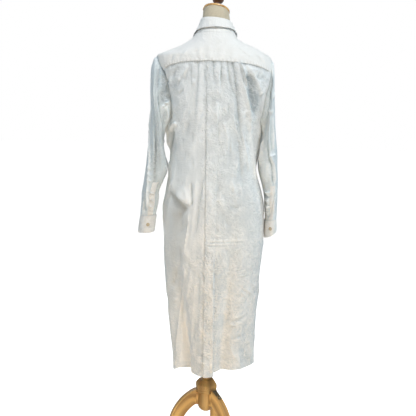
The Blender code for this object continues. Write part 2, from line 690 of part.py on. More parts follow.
turned("pole", [(POLE_RADIUS, HUB_TOP + SEAM), (POLE_RADIUS, FORM_BOTTOM - SEAM)], "wood", 20)
turned("hub", profile_mm((9, 142), (19, 145), (26, 153), (29, 164), (29, 216.8), (36, 217), (37, 219),
                         (37, 238), (35, 241), (21, 254), (16, 256)), "wood", 24)

LEG_ANGLES = {"leg_1": 10.0, "leg_2": 130.0, "leg_3": 250.0}
LEG_WIDTH = 23.0 * MM
LEG_CORNER = 3.0 * MM
ARCH_CENTRE_R = -28.0 * MM          # middle of the arch, from the pole's axis
ARCH_CENTRE_Z = 75.0 * MM
ARCH_OUTER = 166.0 * MM
ARCH_INNER = 118.0 * MM
ARCH_TAPER = 4.0 * MM               # each edge draws in by this much along the arch
ARCH_START = 53.0                   # turn above level where the arch's square sections begin
SWEEP_RADIUS = 60.0 * MM            # of the turn outwards to the foot
ARCH_STEPS = 7
SWEEP_STEPS = 6
SWEEP_TAPER = 8.0 * MM
SWEEP_TURN = 88.0

# The leg's root against the hub: upper and lower edge, as distance from the pole and height.
ROOT = table(("top_r", "top_z", "low_r", "low_z"), (
    (29.3, 216.2, 29.3, 170), (37.2, 216.2, 37.2, 171.5), (37.5, 227, 37.5, 171.5), (54, 219.5, 39.5, 171)))
FOOT = table(("along", "low", "high"), ((10, 0, 29), (26, 0, 25), (40, 0, 19), (46, 2, 14)))


def leg_edges():
    """Upper and lower edge of a leg in its own plane, from the hub to the start of the foot."""
    rows = [tuple(row) for row in zip(*ROOT.values())]
    for i in range(ARCH_STEPS + 1):
        share = i / ARCH_STEPS
        angle = math.radians(ARCH_START) * (1 - share)
        outer, inner = ARCH_OUTER - ARCH_TAPER * share, ARCH_INNER + ARCH_TAPER * share
        rows.append((ARCH_CENTRE_R + outer * math.cos(angle), ARCH_CENTRE_Z + outer * math.sin(angle),
                     ARCH_CENTRE_R + inner * math.cos(angle), ARCH_CENTRE_Z + inner * math.sin(angle)))
    middle_r = ARCH_CENTRE_R + (ARCH_OUTER + ARCH_INNER) / 2 + SWEEP_RADIUS
    for i in range(1, SWEEP_STEPS + 1):
        share = i / SWEEP_STEPS
        angle = math.radians(SWEEP_TURN) * share
        half = (ARCH_OUTER - ARCH_INNER) / 2 - ARCH_TAPER - SWEEP_TAPER * share
        near, far = SWEEP_RADIUS - half, SWEEP_RADIUS + half
        rows.append((middle_r - near * math.cos(angle), ARCH_CENTRE_Z - near * math.sin(angle),
                     middle_r - far * math.cos(angle), ARCH_CENTRE_Z - far * math.sin(angle)))
    return rows


def leg_section(top_r, top_z, low_r, low_z, heading):
    """Eight corners of a section between its upper and lower edge, round the leg's middle line."""
    half = math.hypot(top_r - low_r, top_z - low_z) / 2
    out_r, out_z = (top_r - low_r) / (2 * half), (top_z - low_z) / (2 * half)
    wide = LEG_WIDTH / 2
    corners = ((wide, half - LEG_CORNER), (wide - LEG_CORNER, half), (-wide + LEG_CORNER, half),
               (-wide, half - LEG_CORNER), (-wide, -half + LEG_CORNER), (-wide + LEG_CORNER, -half),
               (wide - LEG_CORNER, -half), (wide, -half + LEG_CORNER))
    c, s = math.cos(math.radians(heading)), math.sin(math.radians(heading))
    points = []
    for across, out in corners:
        r, z = (top_r + low_r) / 2 + out * out_r, (top_z + low_z) / 2 + out * out_z
        points.append((r * c - across * s, r * s + across * c, z))
    return points


def leg(name, heading):
    """One curved leg with eased corners, ending in a flat-bottomed foot."""
    edges = leg_edges()
    foot_r = (edges[-1][0] + edges[-1][2]) / 2
    edges += [(foot_r + along, high, foot_r + along, low) for along, low, high in zip(*FOOT.values())]
    tube(name, [leg_section(*edge, heading) for edge in edges], "wood", 30.0)


for leg_name, leg_heading in LEG_ANGLES.items():
    leg(leg_name, leg_heading)


# A dark strap over the root of the second leg, held by a round-headed bolt.
STRAP_TURNS = (65.5, 57.5)          # turns of the arch where the strap starts and ends
STRAP_HALF = 8.0 * MM
STRAP_THICK = 2.5 * MM
BOLT_TURN = 54.5


def on_leg_top(turn, out, across, heading):
    """A point above the arch's outer edge, in the plane of a leg."""
    angle = math.radians(turn)
    r = ARCH_CENTRE_R + (ARCH_OUTER + out) * math.cos(angle)
    z = ARCH_CENTRE_Z + (ARCH_OUTER + out) * math.sin(angle)
    c, s = math.cos(math.radians(heading)), math.sin(math.radians(heading))
    return np.array((r * c - across * s, r * s + across * c, z))


def leg_strap(heading):
    first, last = STRAP_TURNS
    rings = []
    for i in range(5):
        turn = first + (last - first) * i / 4
        rings.append([on_leg_top(turn, out, across, heading) for out, across in (
            (LIE, -STRAP_HALF), (LIE + STRAP_THICK, -STRAP_HALF), (LIE + STRAP_THICK, STRAP_HALF),
            (LIE, STRAP_HALF))])
    tube("leg_strap", rings, "steel", 30.0)


def leg_bolt(heading):
    seat = on_leg_top(BOLT_TURN, LIE, 0.0, heading)
    facing = on_leg_top(BOLT_TURN, 1.0, 0.0, heading) - on_leg_top(BOLT_TURN, 0.0, 0.0, heading)
    profile = profile_mm((7, 0), (7.5, 1.5), (7, 4), (4.5, 6), (1.5, 6.6))
    turned("leg_bolt", profile, "steel", 12, seat, facing)


leg_strap(LEG_ANGLES["leg_2"])
leg_bolt(LEG_ANGLES["leg_2"])
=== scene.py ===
"""The looks of a white poplin shirt dress on a padded dress form with a wooden tripod.

Metres, +Z up.  The wearer's front faces -Y, so +Y is the back and +X the wearer's left.
Tables are in millimetres and degrees, measured from the pole's axis; MM turns millimetres into metres.
The cloth is read by turn and height: turn 0 is the centre back, 90 the wearer's left side, 180 the
centre front.  Its cloth coordinates are u, the way round from the centre back, and v, the height.
"""
import math

import bmesh
import bpy
import numpy as np
from mathutils import Matrix, Vector


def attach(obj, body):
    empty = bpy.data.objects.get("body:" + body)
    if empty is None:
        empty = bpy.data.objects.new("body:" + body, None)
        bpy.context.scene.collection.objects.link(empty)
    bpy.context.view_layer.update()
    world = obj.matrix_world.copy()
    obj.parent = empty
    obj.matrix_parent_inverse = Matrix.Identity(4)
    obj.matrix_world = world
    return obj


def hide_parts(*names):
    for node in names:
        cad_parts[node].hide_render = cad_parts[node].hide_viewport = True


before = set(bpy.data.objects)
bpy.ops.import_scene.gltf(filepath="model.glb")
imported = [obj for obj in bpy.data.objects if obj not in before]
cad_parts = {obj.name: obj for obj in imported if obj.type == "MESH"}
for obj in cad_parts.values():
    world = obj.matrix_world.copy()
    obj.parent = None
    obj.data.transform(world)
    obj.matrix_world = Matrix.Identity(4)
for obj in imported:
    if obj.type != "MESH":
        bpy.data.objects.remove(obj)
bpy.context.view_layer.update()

MM = 0.001
POLE = np.array((-11.0, 17.0, 0.0)) * MM

# ================================================================ sizes shared with the model

WALL = 1.6 * MM
SEAM = 0.3 * MM
LIE = 0.3 * MM
FORM_GAP = 0.95 * MM
UNDERARM = 1130.0 * MM
SHOULDER_TIP = 1365.0 * MM
ARMHOLE_TURN = 27.0
ARMHOLE_STEPS = 20
YOKE_CORNER = 7
FRONT_CORNER = 12
YOKE_SEAM_BACK = 1345.0 * MM
YOKE_SEAM_BOW = 2.2
YOKE_PLEAT_SHARE = 0.35
FRONT_SEAM_DIP = 6.0 * MM
FRONT_DEPTH = 115.0 * MM
HEM_BACK = 316.0 * MM
HEM_SIDE = 330.0 * MM
HEM_FRONT = 340.0 * MM
HEM_DIP = 15.0 * MM         # the hem hangs lower on the outer fold of the left side
HEM_DIP_TURN = 66.0
HEM_DIP_HALF = 9.0
HEM_RISE = 12.0 * MM        # and higher to the right of the box pleat
PLACKET_HALF = 15.0 * MM
BUTTON_RADIUS = 5.75 * MM
BUTTON_THICK = 2.4 * MM
FRONT_BUTTONS = 9
FRONT_BUTTON_TOP = 1345.0 * MM
FRONT_BUTTON_PITCH = 95.0 * MM
COLLAR_TILT = 5.0 * MM
SIDE_REACH = 170.0 * MM
SEAM_TURN = math.degrees(SEAM / 2 / SIDE_REACH)
UNDERLAP_TURNS = (160.0, 170.0)

CLOTH = 0.6 * MM            # thickness of one layer of poplin as it is drawn
DOUBLE = 1.1 * MM           # of the yoke and the bands, which are two layers
BAND = 1.5 * MM             # of the collar and cuffs, which are two layers with a stiffening between


def table(columns, rows):
    """Named columns out of rows of millimetres or degrees; 'turn' columns stay in degrees."""
    values = np.array(rows, float)
    return {name: values[:, i] * (1.0 if "turn" in name else MM) for i, name in enumerate(columns)}


def read(tab, column, at, key="height"):
    """Smooth reading between the rows of a table, without overshoot."""
    xs, ys = tab[key], tab[column]
    if xs[0] > xs[-1]:
        xs, ys = xs[::-1], ys[::-1]
    at = np.clip(at, xs[0], xs[-1])
    steps = np.diff(xs)
    slopes = np.diff(ys) / steps
    tangents = np.zeros(len(xs))
    tangents[0], tangents[-1] = slopes[0], slopes[-1]
    for i in range(1, len(xs) - 1):
        if slopes[i - 1] * slopes[i] > 0:
            tangents[i] = 2 * slopes[i - 1] * slopes[i] / (slopes[i - 1] + slopes[i])
    i = np.clip(np.searchsorted(xs, at, side="right") - 1, 0, len(xs) - 2)
    t = (at - xs[i]) / steps[i]
    return ((1 + 2 * t) * (1 - t) ** 2 * ys[i] + t * (1 - t) ** 2 * steps[i] * tangents[i]
            + t * t * (3 - 2 * t) * ys[i + 1] + t * t * (t - 1) * steps[i] * tangents[i + 1])


def ease(low, high, at):
    """0 below low, 1 above high, smooth between."""
    t = np.clip((at - low) / (high - low), 0.0, 1.0)
    return t * t * (3 - 2 * t)


BODY = table(("height", "left", "right", "back", "front"), (
    (1490, 49, 46, 43, 53), (1470, 54, 52, 51, 56), (1447, 64, 61, 62, 62), (1429, 75, 69, 71, 71),
    (1412, 95, 93, 79, 79), (1398, 119, 129, 85, 85), (1386, 147, 153, 90, 90), (1374, 176, 175, 93, 94),
    (1365, 193, 185, 96, 97), (1345, 193, 190, 100, 104), (1318, 184, 195, 104, 112),
    (1300, 177, 197, 106, 117), (1222, 165, 182, 110, 130), (1130, 150, 154, 109, 126),
    (1057, 144, 148, 111, 119), (1007, 146, 147, 114, 117), (922, 156, 169, 121, 118),
    (871, 163, 179, 124, 119), (751, 158, 181, 125, 120), (646, 151, 173, 123, 118),
    (541, 138, 168, 120, 116), (434, 122, 164, 117, 114), (362, 111, 163, 114, 112),
    (300, 107, 163, 112, 112)))

PLEAT = table(("height", "left", "right", "proud"), (
    (1345, 32, -12, 2), (1130, 28, -7, 4), (938, 25, -8, 5), (741, 22, -8, 5), (489, 19, -8, 6),
    (316, 15, -13, 6)))
PLEAT_STEP = 2.0 * MM

FOLDS = table(("top", "turn_top", "turn_hem", "half_turn", "swell"), (
    (950, 2, 8, 14, 17), (900, 46, 44, 9, -27), (950, 72, 69, 10, 17), (1000, -22, -17, 7, -20),
    (820, -40, -37, 9, 3), (900, -55, -51, 9, -8), (900, 112, 112, 11, 10), (950, 134, 134, 10, -14),
    (900, 156, 156, 9, 9), (900, -112, -110, 11, 10), (950, -135, -134, 10, -12), (900, -157, -157, 9, 8)))

NECK = table(("turn", "seam", "stand_top"), (
    (0, 1438, 1485), (60, 1440, 1483), (90, 1440, 1479), (106, 1436, 1472), (130, 1421, 1457),
    (155, 1405, 1442), (180, 1398, 1434)))


def fold_swell(turn, height):
    """How far the hanging folds push the skin out."""
    swell = np.zeros(np.broadcast(turn, height).shape)
    for top, turn_top, turn_hem, half, most in zip(*FOLDS.values()):
        grown = ease(0.0, 1.0, (top - height) / (top - HEM_BACK))
        centre = turn_top + (turn_hem - turn_top) * grown
        away = (turn - centre + 180.0) % 360.0 - 180.0
        swell += most * grown * np.exp(-((away / half) ** 2))
    return swell


def half_axes(tab, to_left, to_back, height):
    """How far a section at a height reaches to the side, and to the back or the front."""
    side = np.where(to_left >= 0, read(tab, "left", height), read(tab, "right", height))
    return side, np.where(to_back >= 0, read(tab, "back", height), read(tab, "front", height))


def skin_base(turn, height):
    turn, height = np.broadcast_arrays(np.asarray(turn, float), np.asarray(height, float))
    sine, cosine = np.sin(np.radians(turn)), np.cos(np.radians(turn))
    side, depth = half_axes(BODY, sine, cosine, height)
    out_x, out_y = sine / side, cosine / depth
    swell = fold_swell(turn, height) / np.hypot(out_x, out_y)
    return np.stack([side * sine + swell * out_x, depth * cosine + swell * out_y, height], -1)


def skin_normal(turn, height):
    across = skin_base(np.asarray(turn) + 0.5, height) - skin_base(np.asarray(turn) - 0.5, height)
    up = skin_base(turn, np.asarray(height) + MM) - skin_base(turn, np.asarray(height) - MM)
    normal = np.cross(up, across)
    return normal / np.linalg.norm(normal, axis=-1, keepdims=True)


def skin(turn, height, out=0.0):
    """Points on the dress, moved out along the skin's normal."""
    out = np.asarray(out, float)
    return skin_base(turn, height) + skin_normal(turn, height) * out[..., None]


def turn_at(x, height):
    """The turn on the back where the skin passes a distance x to the left of the pole."""
    side = np.where(x >= 0, read(BODY, "left", height), read(BODY, "right", height))
    return np.degrees(np.arcsin(np.clip(x / side, -1.0, 1.0)))


def armhole(station, shrink=0.0):
    """Turn and height of a station on the left armhole; shrink moves it in towards the lens's middle."""
    angle = 2 * math.pi * np.asarray(station, float) / ARMHOLE_STEPS
    middle, half = (UNDERARM + SHOULDER_TIP) / 2, (SHOULDER_TIP - UNDERARM) / 2
    return 90.0 - (ARMHOLE_TURN - shrink) * np.sin(angle), middle - half * (1 - shrink / 90.0) * np.cos(angle)


def hem_height(turn):
    back, side = np.cos(np.radians(turn)), np.abs(np.sin(np.radians(turn)))
    end = np.where(back >= 0, HEM_BACK, HEM_FRONT)
    dip = HEM_DIP * np.exp(-(((np.asarray(turn, float) - HEM_DIP_TURN) / HEM_DIP_HALF) ** 2))
    return end + (HEM_SIDE - end) * side ** 2 - dip


def neck_height(turn, column="seam"):
    away = np.abs((np.asarray(turn, float) + 180.0) % 360.0 - 180.0)
    return read(NECK, column, away, key="turn")


def yoke_seam_height(share):
    """Height of the back yoke seam, from the pleat (0) to the armhole corner (1)."""
    corner = armhole(YOKE_CORNER)[1]
    return YOKE_SEAM_BACK + (corner - YOKE_SEAM_BACK) * share ** YOKE_SEAM_BOW


# ================================================================ camera, floor and light

CAMERA_PLACE = Vector((0.104, 2.214, 1.15))
CAMERA_AIM = Vector((0.0002, 0.017, 0.864))
CAMERA_ROLL = -1.6          # degrees; the object's top leans to the right
CAMERA_FOCUS = 653.0        # focal length in pixels of a 416 pixel frame
FRAME_PIXELS = 416
SENSOR = 36.0


def make_camera():
    data = bpy.data.cameras.new("camera")
    data.sensor_width = SENSOR
    data.lens = SENSOR * CAMERA_FOCUS / FRAME_PIXELS
    made = bpy.data.objects.new("camera", data)
    ahead = (CAMERA_AIM - CAMERA_PLACE).normalized()
    right = ahead.cross(Vector((0, 0, 1))).normalized()
    up = right.cross(ahead)
    roll = math.radians(CAMERA_ROLL)
    turned_right = right * math.cos(roll) - up * math.sin(roll)
    turned_up = right * math.sin(roll) + up * math.cos(roll)
    made.matrix_world = (Matrix.Translation(CAMERA_PLACE)
                         @ Matrix((turned_right, turned_up, -ahead)).transposed().to_4x4())
    bpy.context.scene.collection.objects.link(made)
    bpy.context.scene.camera = made


FLOOR_REACH = 30.0
FLOOR_GLOW = 0.86           # more than the least, where the camera looks at the floor
FLOOR_GLOW_LEAST = 0.04
SKY_STRENGTH = 0.22
SKY_LOW = (0.30, (0.98, 0.90, 0.78, 1.0))       # how far up the sky, and its colour there
SKY_HIGH = (0.75, (0.78, 0.90, 1.0, 1.0))

# Daylight: a strong key from high on the right, two weak ones that soften it, cool light from both
# sides, warm light from below and a fill for the front.  Place, aim, size, watts and colour.
LIGHTS = {
    "key": ((-1.3, 2.1, 4.1), (0.0, 0.0, 1.0), 0.8, 81.0, (1.0, 0.994, 0.98)),
    "top": ((-0.1, 1.2, 3.2), (0.0, 0.05, 1.4), 0.6, 2.8, (0.95, 0.97, 1.0)),
    "near": ((0.25, 2.9, 0.9), (0.0, 0.0, 0.8), 1.1, 2.0, (1.0, 0.97, 0.93)),
    "sky": ((2.3, 1.1, 3.2), (0.0, 0.0, 1.35), 1.4, 24.0, (0.75, 0.89, 1.0)),
    "sky_right": ((-2.3, 0.6, 1.5), (-0.15, 0.0, 1.15), 0.9, 8.0, (0.42, 0.77, 1.0)),
    "bounce": ((0.15, 1.2, 0.10), (0.0, 0.0, 0.35), 0.8, 5.0, (1.0, 0.64, 0.24)),
    "fill": ((0.9, -2.6, 2.1), (0.0, 0.0, 0.9), 1.4, 26.0, (0.97, 0.98, 1.0)),
}


def make_floor():
    """A wide pale floor, bright enough to run into the background."""
    mesh = bpy.data.meshes.new("floor")
    corners = [(x * FLOOR_REACH, y * FLOOR_REACH, 0) for x, y in ((-1, -1), (1, -1), (1, 1), (-1, 1))]
    mesh.from_pydata(corners, [], [(0, 1, 2, 3)])
    made = bpy.data.materials.new("floor")
    made.use_nodes = True
    tree = made.node_tree
    shader = tree.nodes["Principled BSDF"]
    shader.inputs["Base Color"].default_value = (0.92, 0.91, 0.89, 1.0)
    shader.inputs["Roughness"].default_value = 0.95
    shader.inputs["Emission Color"].default_value = (1.0, 0.985, 0.96, 1.0)
    looked_at = tree.nodes.new("ShaderNodeLightPath").outputs["Is Camera Ray"]
    glow = sums(tree, "MULTIPLY_ADD", looked_at, FLOOR_GLOW, FLOOR_GLOW_LEAST)
    plug(tree, shader.inputs["Emission Strength"], glow)
    mesh.materials.append(made)
    floor = bpy.data.objects.new("floor", mesh)
    bpy.context.scene.collection.objects.link(floor)


def area_light(name, place, aim, size, watts, colour):
    data = bpy.data.lights.new(name, "AREA")
    data.shape = "DISK"
    data.size = size
    data.energy = watts
    data.color = colour
    made = bpy.data.objects.new(name, data)
    made.location = place
    made.rotation_mode = "QUATERNION"
    made.rotation_quaternion = (Vector(aim) - Vector(place)).to_track_quat("-Z", "Y")
    made.visible_camera = False
    bpy.context.scene.collection.objects.link(made)


def make_light():
    """A white background that lights like a pale sky, and the lamps."""
    world = bpy.data.worlds.new("daylight")
    world.use_nodes = True
    tree = world.node_tree
    tree.nodes.clear()
    up = parts_of(tree, tree.nodes.new("ShaderNodeTexCoord").outputs["Generated"])["Z"]
    ramp = add_node(tree, "ShaderNodeValToRGB", {"Fac": sums(tree, "MULTIPLY_ADD", up, 0.5, 0.5)})
    for element, (position, colour) in zip(ramp.color_ramp.elements, (SKY_LOW, SKY_HIGH)):
        element.position = position
        element.color = colour
    lit = add_node(tree, "ShaderNodeBackground", {"Color": ramp.outputs["Color"], "Strength": SKY_STRENGTH})
    seen = add_node(tree, "ShaderNodeBackground", {"Color": (1.0, 1.0, 1.0, 1.0), "Strength": 1.0})
    looked_at = tree.nodes.new("ShaderNodeLightPath").outputs["Is Camera Ray"]
    mix = add_node(tree, "ShaderNodeMixShader", {"Fac": looked_at, 1: lit.outputs[0], 2: seen.outputs[0]})
    add_node(tree, "ShaderNodeOutputWorld", {"Surface": mix.outputs[0]})
    bpy.context.scene.world = world
    for name, light in LIGHTS.items():
        area_light(name, *light)
    bpy.context.scene.view_settings.view_transform = "Standard"


# ================================================================ shader groups and materials

def plug(tree, socket, value):
    """Put a value, or another node's output, into a socket."""
    if isinstance(value, bpy.types.NodeSocket):
        tree.links.new(value, socket)
    else:
        socket.default_value = value


def add_node(tree, kind, plugs=None, **settings):
    """A new node with its settings and what is plugged into it."""
    made = tree.nodes.new(kind)
    for label, value in settings.items():
        setattr(made, label, value)
    for label, value in (plugs or {}).items():
        plug(tree, made.inputs[label], value)
    return made


def sums(tree, operation, *values):
    """A Math node of the given operation; returns its output."""
    return add_node(tree, "ShaderNodeMath", dict(enumerate(values)), operation=operation).outputs[0]


def node_group(name, inputs, outputs):
    """An empty shader group; returns its tree, the outputs of its input node, and the reverse."""
    tree = bpy.data.node_groups.new(name, "ShaderNodeTree")
    tree.interface.new_socket("Vector", in_out="INPUT", socket_type="NodeSocketVector")
    for label, value in inputs.items():
        socket = tree.interface.new_socket(label, in_out="INPUT", socket_type="NodeSocketFloat")
        socket.default_value = value
    for label in outputs:
        tree.interface.new_socket(label, in_out="OUTPUT", socket_type="NodeSocketFloat")
    return tree, tree.nodes.new("NodeGroupInput").outputs, tree.nodes.new("NodeGroupOutput").inputs


def noise(tree, vector, scale, detail=2.0, rough=0.5, distortion=0.0):
    plugs = {"Detail": detail, "Roughness": rough, "Distortion": distortion, "Scale": scale, "Vector": vector}
    return add_node(tree, "ShaderNodeTexNoise", plugs).outputs[0]


def stretched(tree, vector, scale):
    return add_node(tree, "ShaderNodeMapping", {"Scale": scale, "Vector": vector}).outputs[0]


def parts_of(tree, vector):
    """The X, Y and Z of a vector."""
    return add_node(tree, "ShaderNodeSeparateXYZ", {0: vector}).outputs


def between(tree, value, low, high):
    """0 at low and below, 1 at high and above."""
    share = sums(tree, "MULTIPLY_ADD", value, 1.0 / (high - low), -low / (high - low))
    return sums(tree, "MINIMUM", sums(tree, "MAXIMUM", share, 0.0), 1.0)


def weave_group():
    """Plain weave: warp and weft threads of a given pitch that go over and under, with slubs."""
    tree, start, end = node_group("plain_weave", {"Pitch": 0.0004, "Slub": 0.3}, ("Height", "Tone", "Hang"))
    vector = start["Vector"]
    split = parts_of(tree, vector)
    waves = []
    for axis in ("X", "Y"):
        count = sums(tree, "DIVIDE", split[axis], start["Pitch"])
        waves.append(sums(tree, "SINE", sums(tree, "MULTIPLY", count, 2 * math.pi)))
    slubs = [noise(tree, stretched(tree, vector, scale), 1.0, 3.0, 0.6)
             for scale in ((340.0, 36.0, 1.0), (36.0, 340.0, 1.0))]
    slub = sums(tree, "SUBTRACT", sums(tree, "ADD", *slubs), 1.0)
    over = sums(tree, "MULTIPLY", *waves)
    plug(tree, end["Height"], sums(tree, "MULTIPLY_ADD", slub, start["Slub"], over))
    plug(tree, end["Tone"], sums(tree, "MULTIPLY_ADD", slub, 0.5, 0.5))
    plug(tree, end["Hang"], noise(tree, stretched(tree, vector, (90.0, 6.0, 1.0)), 1.0, 3.0, 0.6))
    return tree


# Nets of crinkles: stretch across and up, turn in radians, size of the patches, and weight.
CRINKLE_NETS = ((1.1, 3.2, 0.2, 0.55, 0.5), (2.6, 1.0, -0.3, 0.45, 0.35), (1.6, 2.8, 0.9, 0.6, 0.4))
CRINKLE_SLOPE = -8.0        # how steeply a crinkle falls off from its line
PATCH_LEVEL = 0.42          # where a patch of crinkles begins, how fast it grows and what is left outside
PATCH_SLOPE = 6.0
PATCH_LEAST = 0.25


def crumple_group():
    """Worn cotton: soft dents and patches of short sharp crinkles, long ways across, up and aslant."""
    tree, start, end = node_group("crumple", {"Size": 0.016}, ("Height", "Lines"))
    scale = sums(tree, "DIVIDE", 1.0, start["Size"])
    grown = add_node(tree, "ShaderNodeVectorMath", {0: start["Vector"], "Scale": scale}, operation="SCALE")
    vector = grown.outputs[0]
    dents = noise(tree, vector, 1.0, distortion=0.2)
    lines = 0.0
    for across, up, turn, patch, weight in CRINKLE_NETS:
        tilt = {"Rotation": (0.0, 0.0, turn), "Vector": vector}
        tilted = add_node(tree, "ShaderNodeMapping", tilt).outputs[0]
        net = noise(tree, stretched(tree, tilted, (across, up, 1.0)), 1.0, 1.0, 0.4, 0.6)
        away = sums(tree, "ABSOLUTE", sums(tree, "SUBTRACT", net, 0.5))
        ridge = sums(tree, "MAXIMUM", sums(tree, "MULTIPLY_ADD", away, CRINKLE_SLOPE, 1.0), 0.0)
        where = sums(tree, "SUBTRACT", noise(tree, tilted, patch, 1.0), PATCH_LEVEL)
        where = sums(tree, "MAXIMUM", sums(tree, "MULTIPLY", where, PATCH_SLOPE), PATCH_LEAST)
        ridge = sums(tree, "MULTIPLY", ridge, sums(tree, "MINIMUM", where, 1.0))
        lines = sums(tree, "MULTIPLY_ADD", ridge, weight, lines)
    plug(tree, end["Height"], sums(tree, "ADD", dents, lines))
    # The crinkle lines alone, which the cloth's colour turns into painted highlights.
    plug(tree, end["Lines"], lines)
    return tree


RING_BANDS = 160.0          # year rings, in radians to the metre


def grain_group():
    """Wood: long fibres along Z and the wavy bands of the year rings."""
    tree, start, end = node_group("wood_grain", {}, ("Bands", "Fibre"))
    vector = start["Vector"]
    wander = noise(tree, stretched(tree, vector, (1.0, 1.0, 0.12)), 22.0)
    across = sums(tree, "ADD", parts_of(tree, vector)["X"], sums(tree, "MULTIPLY", wander, 0.03))
    bands = sums(tree, "SINE", sums(tree, "MULTIPLY", across, RING_BANDS))
    plug(tree, end["Bands"], sums(tree, "MULTIPLY_ADD", bands, 0.5, 0.5))
    plug(tree, end["Fibre"], noise(tree, stretched(tree, vector, (900.0, 900.0, 28.0)), 1.0, 3.0, 0.6))
    return tree


WEAVE, CRUMPLE, GRAIN = weave_group(), crumple_group(), grain_group()


def new_material(name, roughness, coat=0.0, metallic=0.0, sheen=0.0):
    """A plain material; returns it, its tree and its shader's inputs."""
    made = bpy.data.materials.new(name)
    made.use_nodes = True
    inputs = made.node_tree.nodes["Principled BSDF"].inputs
    for label, value in (("Roughness", roughness), ("Metallic", metallic), ("Coat Weight", coat),
                         ("Coat Roughness", 0.25), ("Sheen Weight", sheen), ("Sheen Roughness", 0.5)):
        inputs[label].default_value = value
    return made, made.node_tree, inputs


def placed(tree, group, vector, **values):
    """One use of a shader group with its own values; returns its outputs."""
    return add_node(tree, "ShaderNodeGroup", {"Vector": vector, **values}, node_tree=group).outputs


def mixed(tree, factor, first, second):
    """Two colours mixed, each of them a tint or another node's output."""
    ends = [end if isinstance(end, bpy.types.NodeSocket) else (*end, 1.0) for end in (first, second)]
    plugs = {"A": ends[0], "B": ends[1], "Factor": factor}
    return add_node(tree, "ShaderNodeMix", plugs, data_type="RGBA").outputs["Result"]


def raised(tree, height, distance, normal=None, strength=1.0):
    made = add_node(tree, "ShaderNodeBump", {"Distance": distance, "Strength": strength, "Height": height})
    if normal is not None:
        plug(tree, made.inputs["Normal"], normal)
    return made.outputs["Normal"]


def uv_vector(tree, name):
    return add_node(tree, "ShaderNodeUVMap", uv_map=name).outputs["UV"]


def object_vector(tree):
    return tree.nodes.new("ShaderNodeTexCoord").outputs["Object"]


def grain_vector(tree):
    """Along the grain of a piece whose UVs run across it and along it."""
    split = parts_of(tree, uv_vector(tree, "grain"))
    return add_node(tree, "ShaderNodeCombineXYZ", {"X": split["X"], "Z": split["Y"]}).outputs[0]


def carried(tree, name):
    """A value that the mesh carries."""
    return add_node(tree, "ShaderNodeAttribute", attribute_name=name).outputs["Fac"]


RELIEF_HALF = 2.9           # millimetres of the shading field at which the painted shade of a trough and the painted light of a ridge are well grown
HOLLOW_START = 4.0          # millimetres of depth at which the painted shade of a hollow sets in
HOLLOW_REACH = 8.0          # and over which it grows full
HOLLOW_HEIGHTS = (0.85, 1.1)    # between these the painted shade of hollows goes from the warm low tint to the cool high one
LIGHT_HEIGHTS = (0.6, 1.0)      # and the painted light tint goes from its low colour to its high one between these
# Painted shade colours of deep hollows: cool high up, warm low down.
HOLLOW_SHADE = (0.42, 0.465, 0.485)
LOW_HOLLOW_SHADE = (0.46, 0.455, 0.42)
THREAD_PITCH = 0.00045
TONE_MIDDLE = 0.60          # of smooth cloth, from the dark painted-shade tint at 0 to the light one at 1
TONE_OF_RELIEF = 0.42       # and how much each adds: painted shade and light, painted crest highlights, weave tone
TONE_OF_CRESTS = 0.85
TONE_OF_WEAVE = 0.4
TONE_OF_HANG = 0.35
CREST_LEVEL = 0.32          # mean height of the crinkles


def poplin(name, light, low_light, dark, hollow=HOLLOW_SHADE, low_hollow=LOW_HOLLOW_SHADE, crumple=2.0, size=0.024):
    """Crisp cotton: fine weave and pressed-in creases where it is crumpled.

    Its colour carries painted light on ridges and crinkle crests, painted shade in troughs and hollows, and
    painted sky and ground light that changes with height.
    """
    made, tree, inputs = new_material(name, 0.82, sheen=0.1)
    inputs["Sheen Tint"].default_value = (1.0, 1.0, 1.0, 1.0)
    inputs["Specular IOR Level"].default_value = 0.25
    vector = uv_vector(tree, "cloth")
    weave = placed(tree, WEAVE, vector, Pitch=THREAD_PITCH, Slub=0.8)
    dents = placed(tree, CRUMPLE, vector, Size=size)
    crumple_and_glints = carried(tree, "crumple_and_glints")
    normal = raised(tree, sums(tree, "MULTIPLY", dents["Height"], crumple_and_glints), crumple * MM)
    normal = raised(tree, weave["Height"], 0.03 * MM, normal, 0.6)
    normal = raised(tree, weave["Tone"], 1.2 * MM, normal)
    normal = raised(tree, weave["Hang"], 1.2 * MM, normal)
    plug(tree, inputs["Normal"], normal)
    # Painted shade and painted light: the shading field darkens troughs and lightens ridges in the base
    # colour.
    painted_shading = carried(tree, "painted_shading")
    tone = sums(tree, "TANH", sums(tree, "DIVIDE", painted_shading, RELIEF_HALF))
    tone = sums(tree, "MULTIPLY_ADD", tone, TONE_OF_RELIEF, TONE_MIDDLE)
    # Painted highlights: lighter along the crinkles' crests, scaled by how crumpled the cloth is.
    crests = sums(tree, "MULTIPLY", sums(tree, "SUBTRACT", dents["Lines"], CREST_LEVEL), crumple_and_glints)
    tone = sums(tree, "MULTIPLY_ADD", crests, TONE_OF_CRESTS, tone)
    for label, share in (("Tone", TONE_OF_WEAVE), ("Hang", TONE_OF_HANG)):
        tone = sums(tree, "MULTIPLY_ADD", sums(tree, "SUBTRACT", weave[label], 0.5), share, tone)
    # Painted shade: deep hollows take the hollow shade colour, warm low down and cool high up.
    deep = between(tree, painted_shading, -HOLLOW_START, -HOLLOW_START - HOLLOW_REACH)
    up = parts_of(tree, object_vector(tree))["Z"]
    hollows = mixed(tree, between(tree, up, *HOLLOW_HEIGHTS), low_hollow, hollow)
    # Painted light colour: the light tint changes with height, for sky light above and ground light below.
    lights = mixed(tree, between(tree, up, *LIGHT_HEIGHTS), low_light, light)
    plug(tree, inputs["Base Color"], mixed(tree, tone, mixed(tree, deep, dark, hollows), lights))
    return made


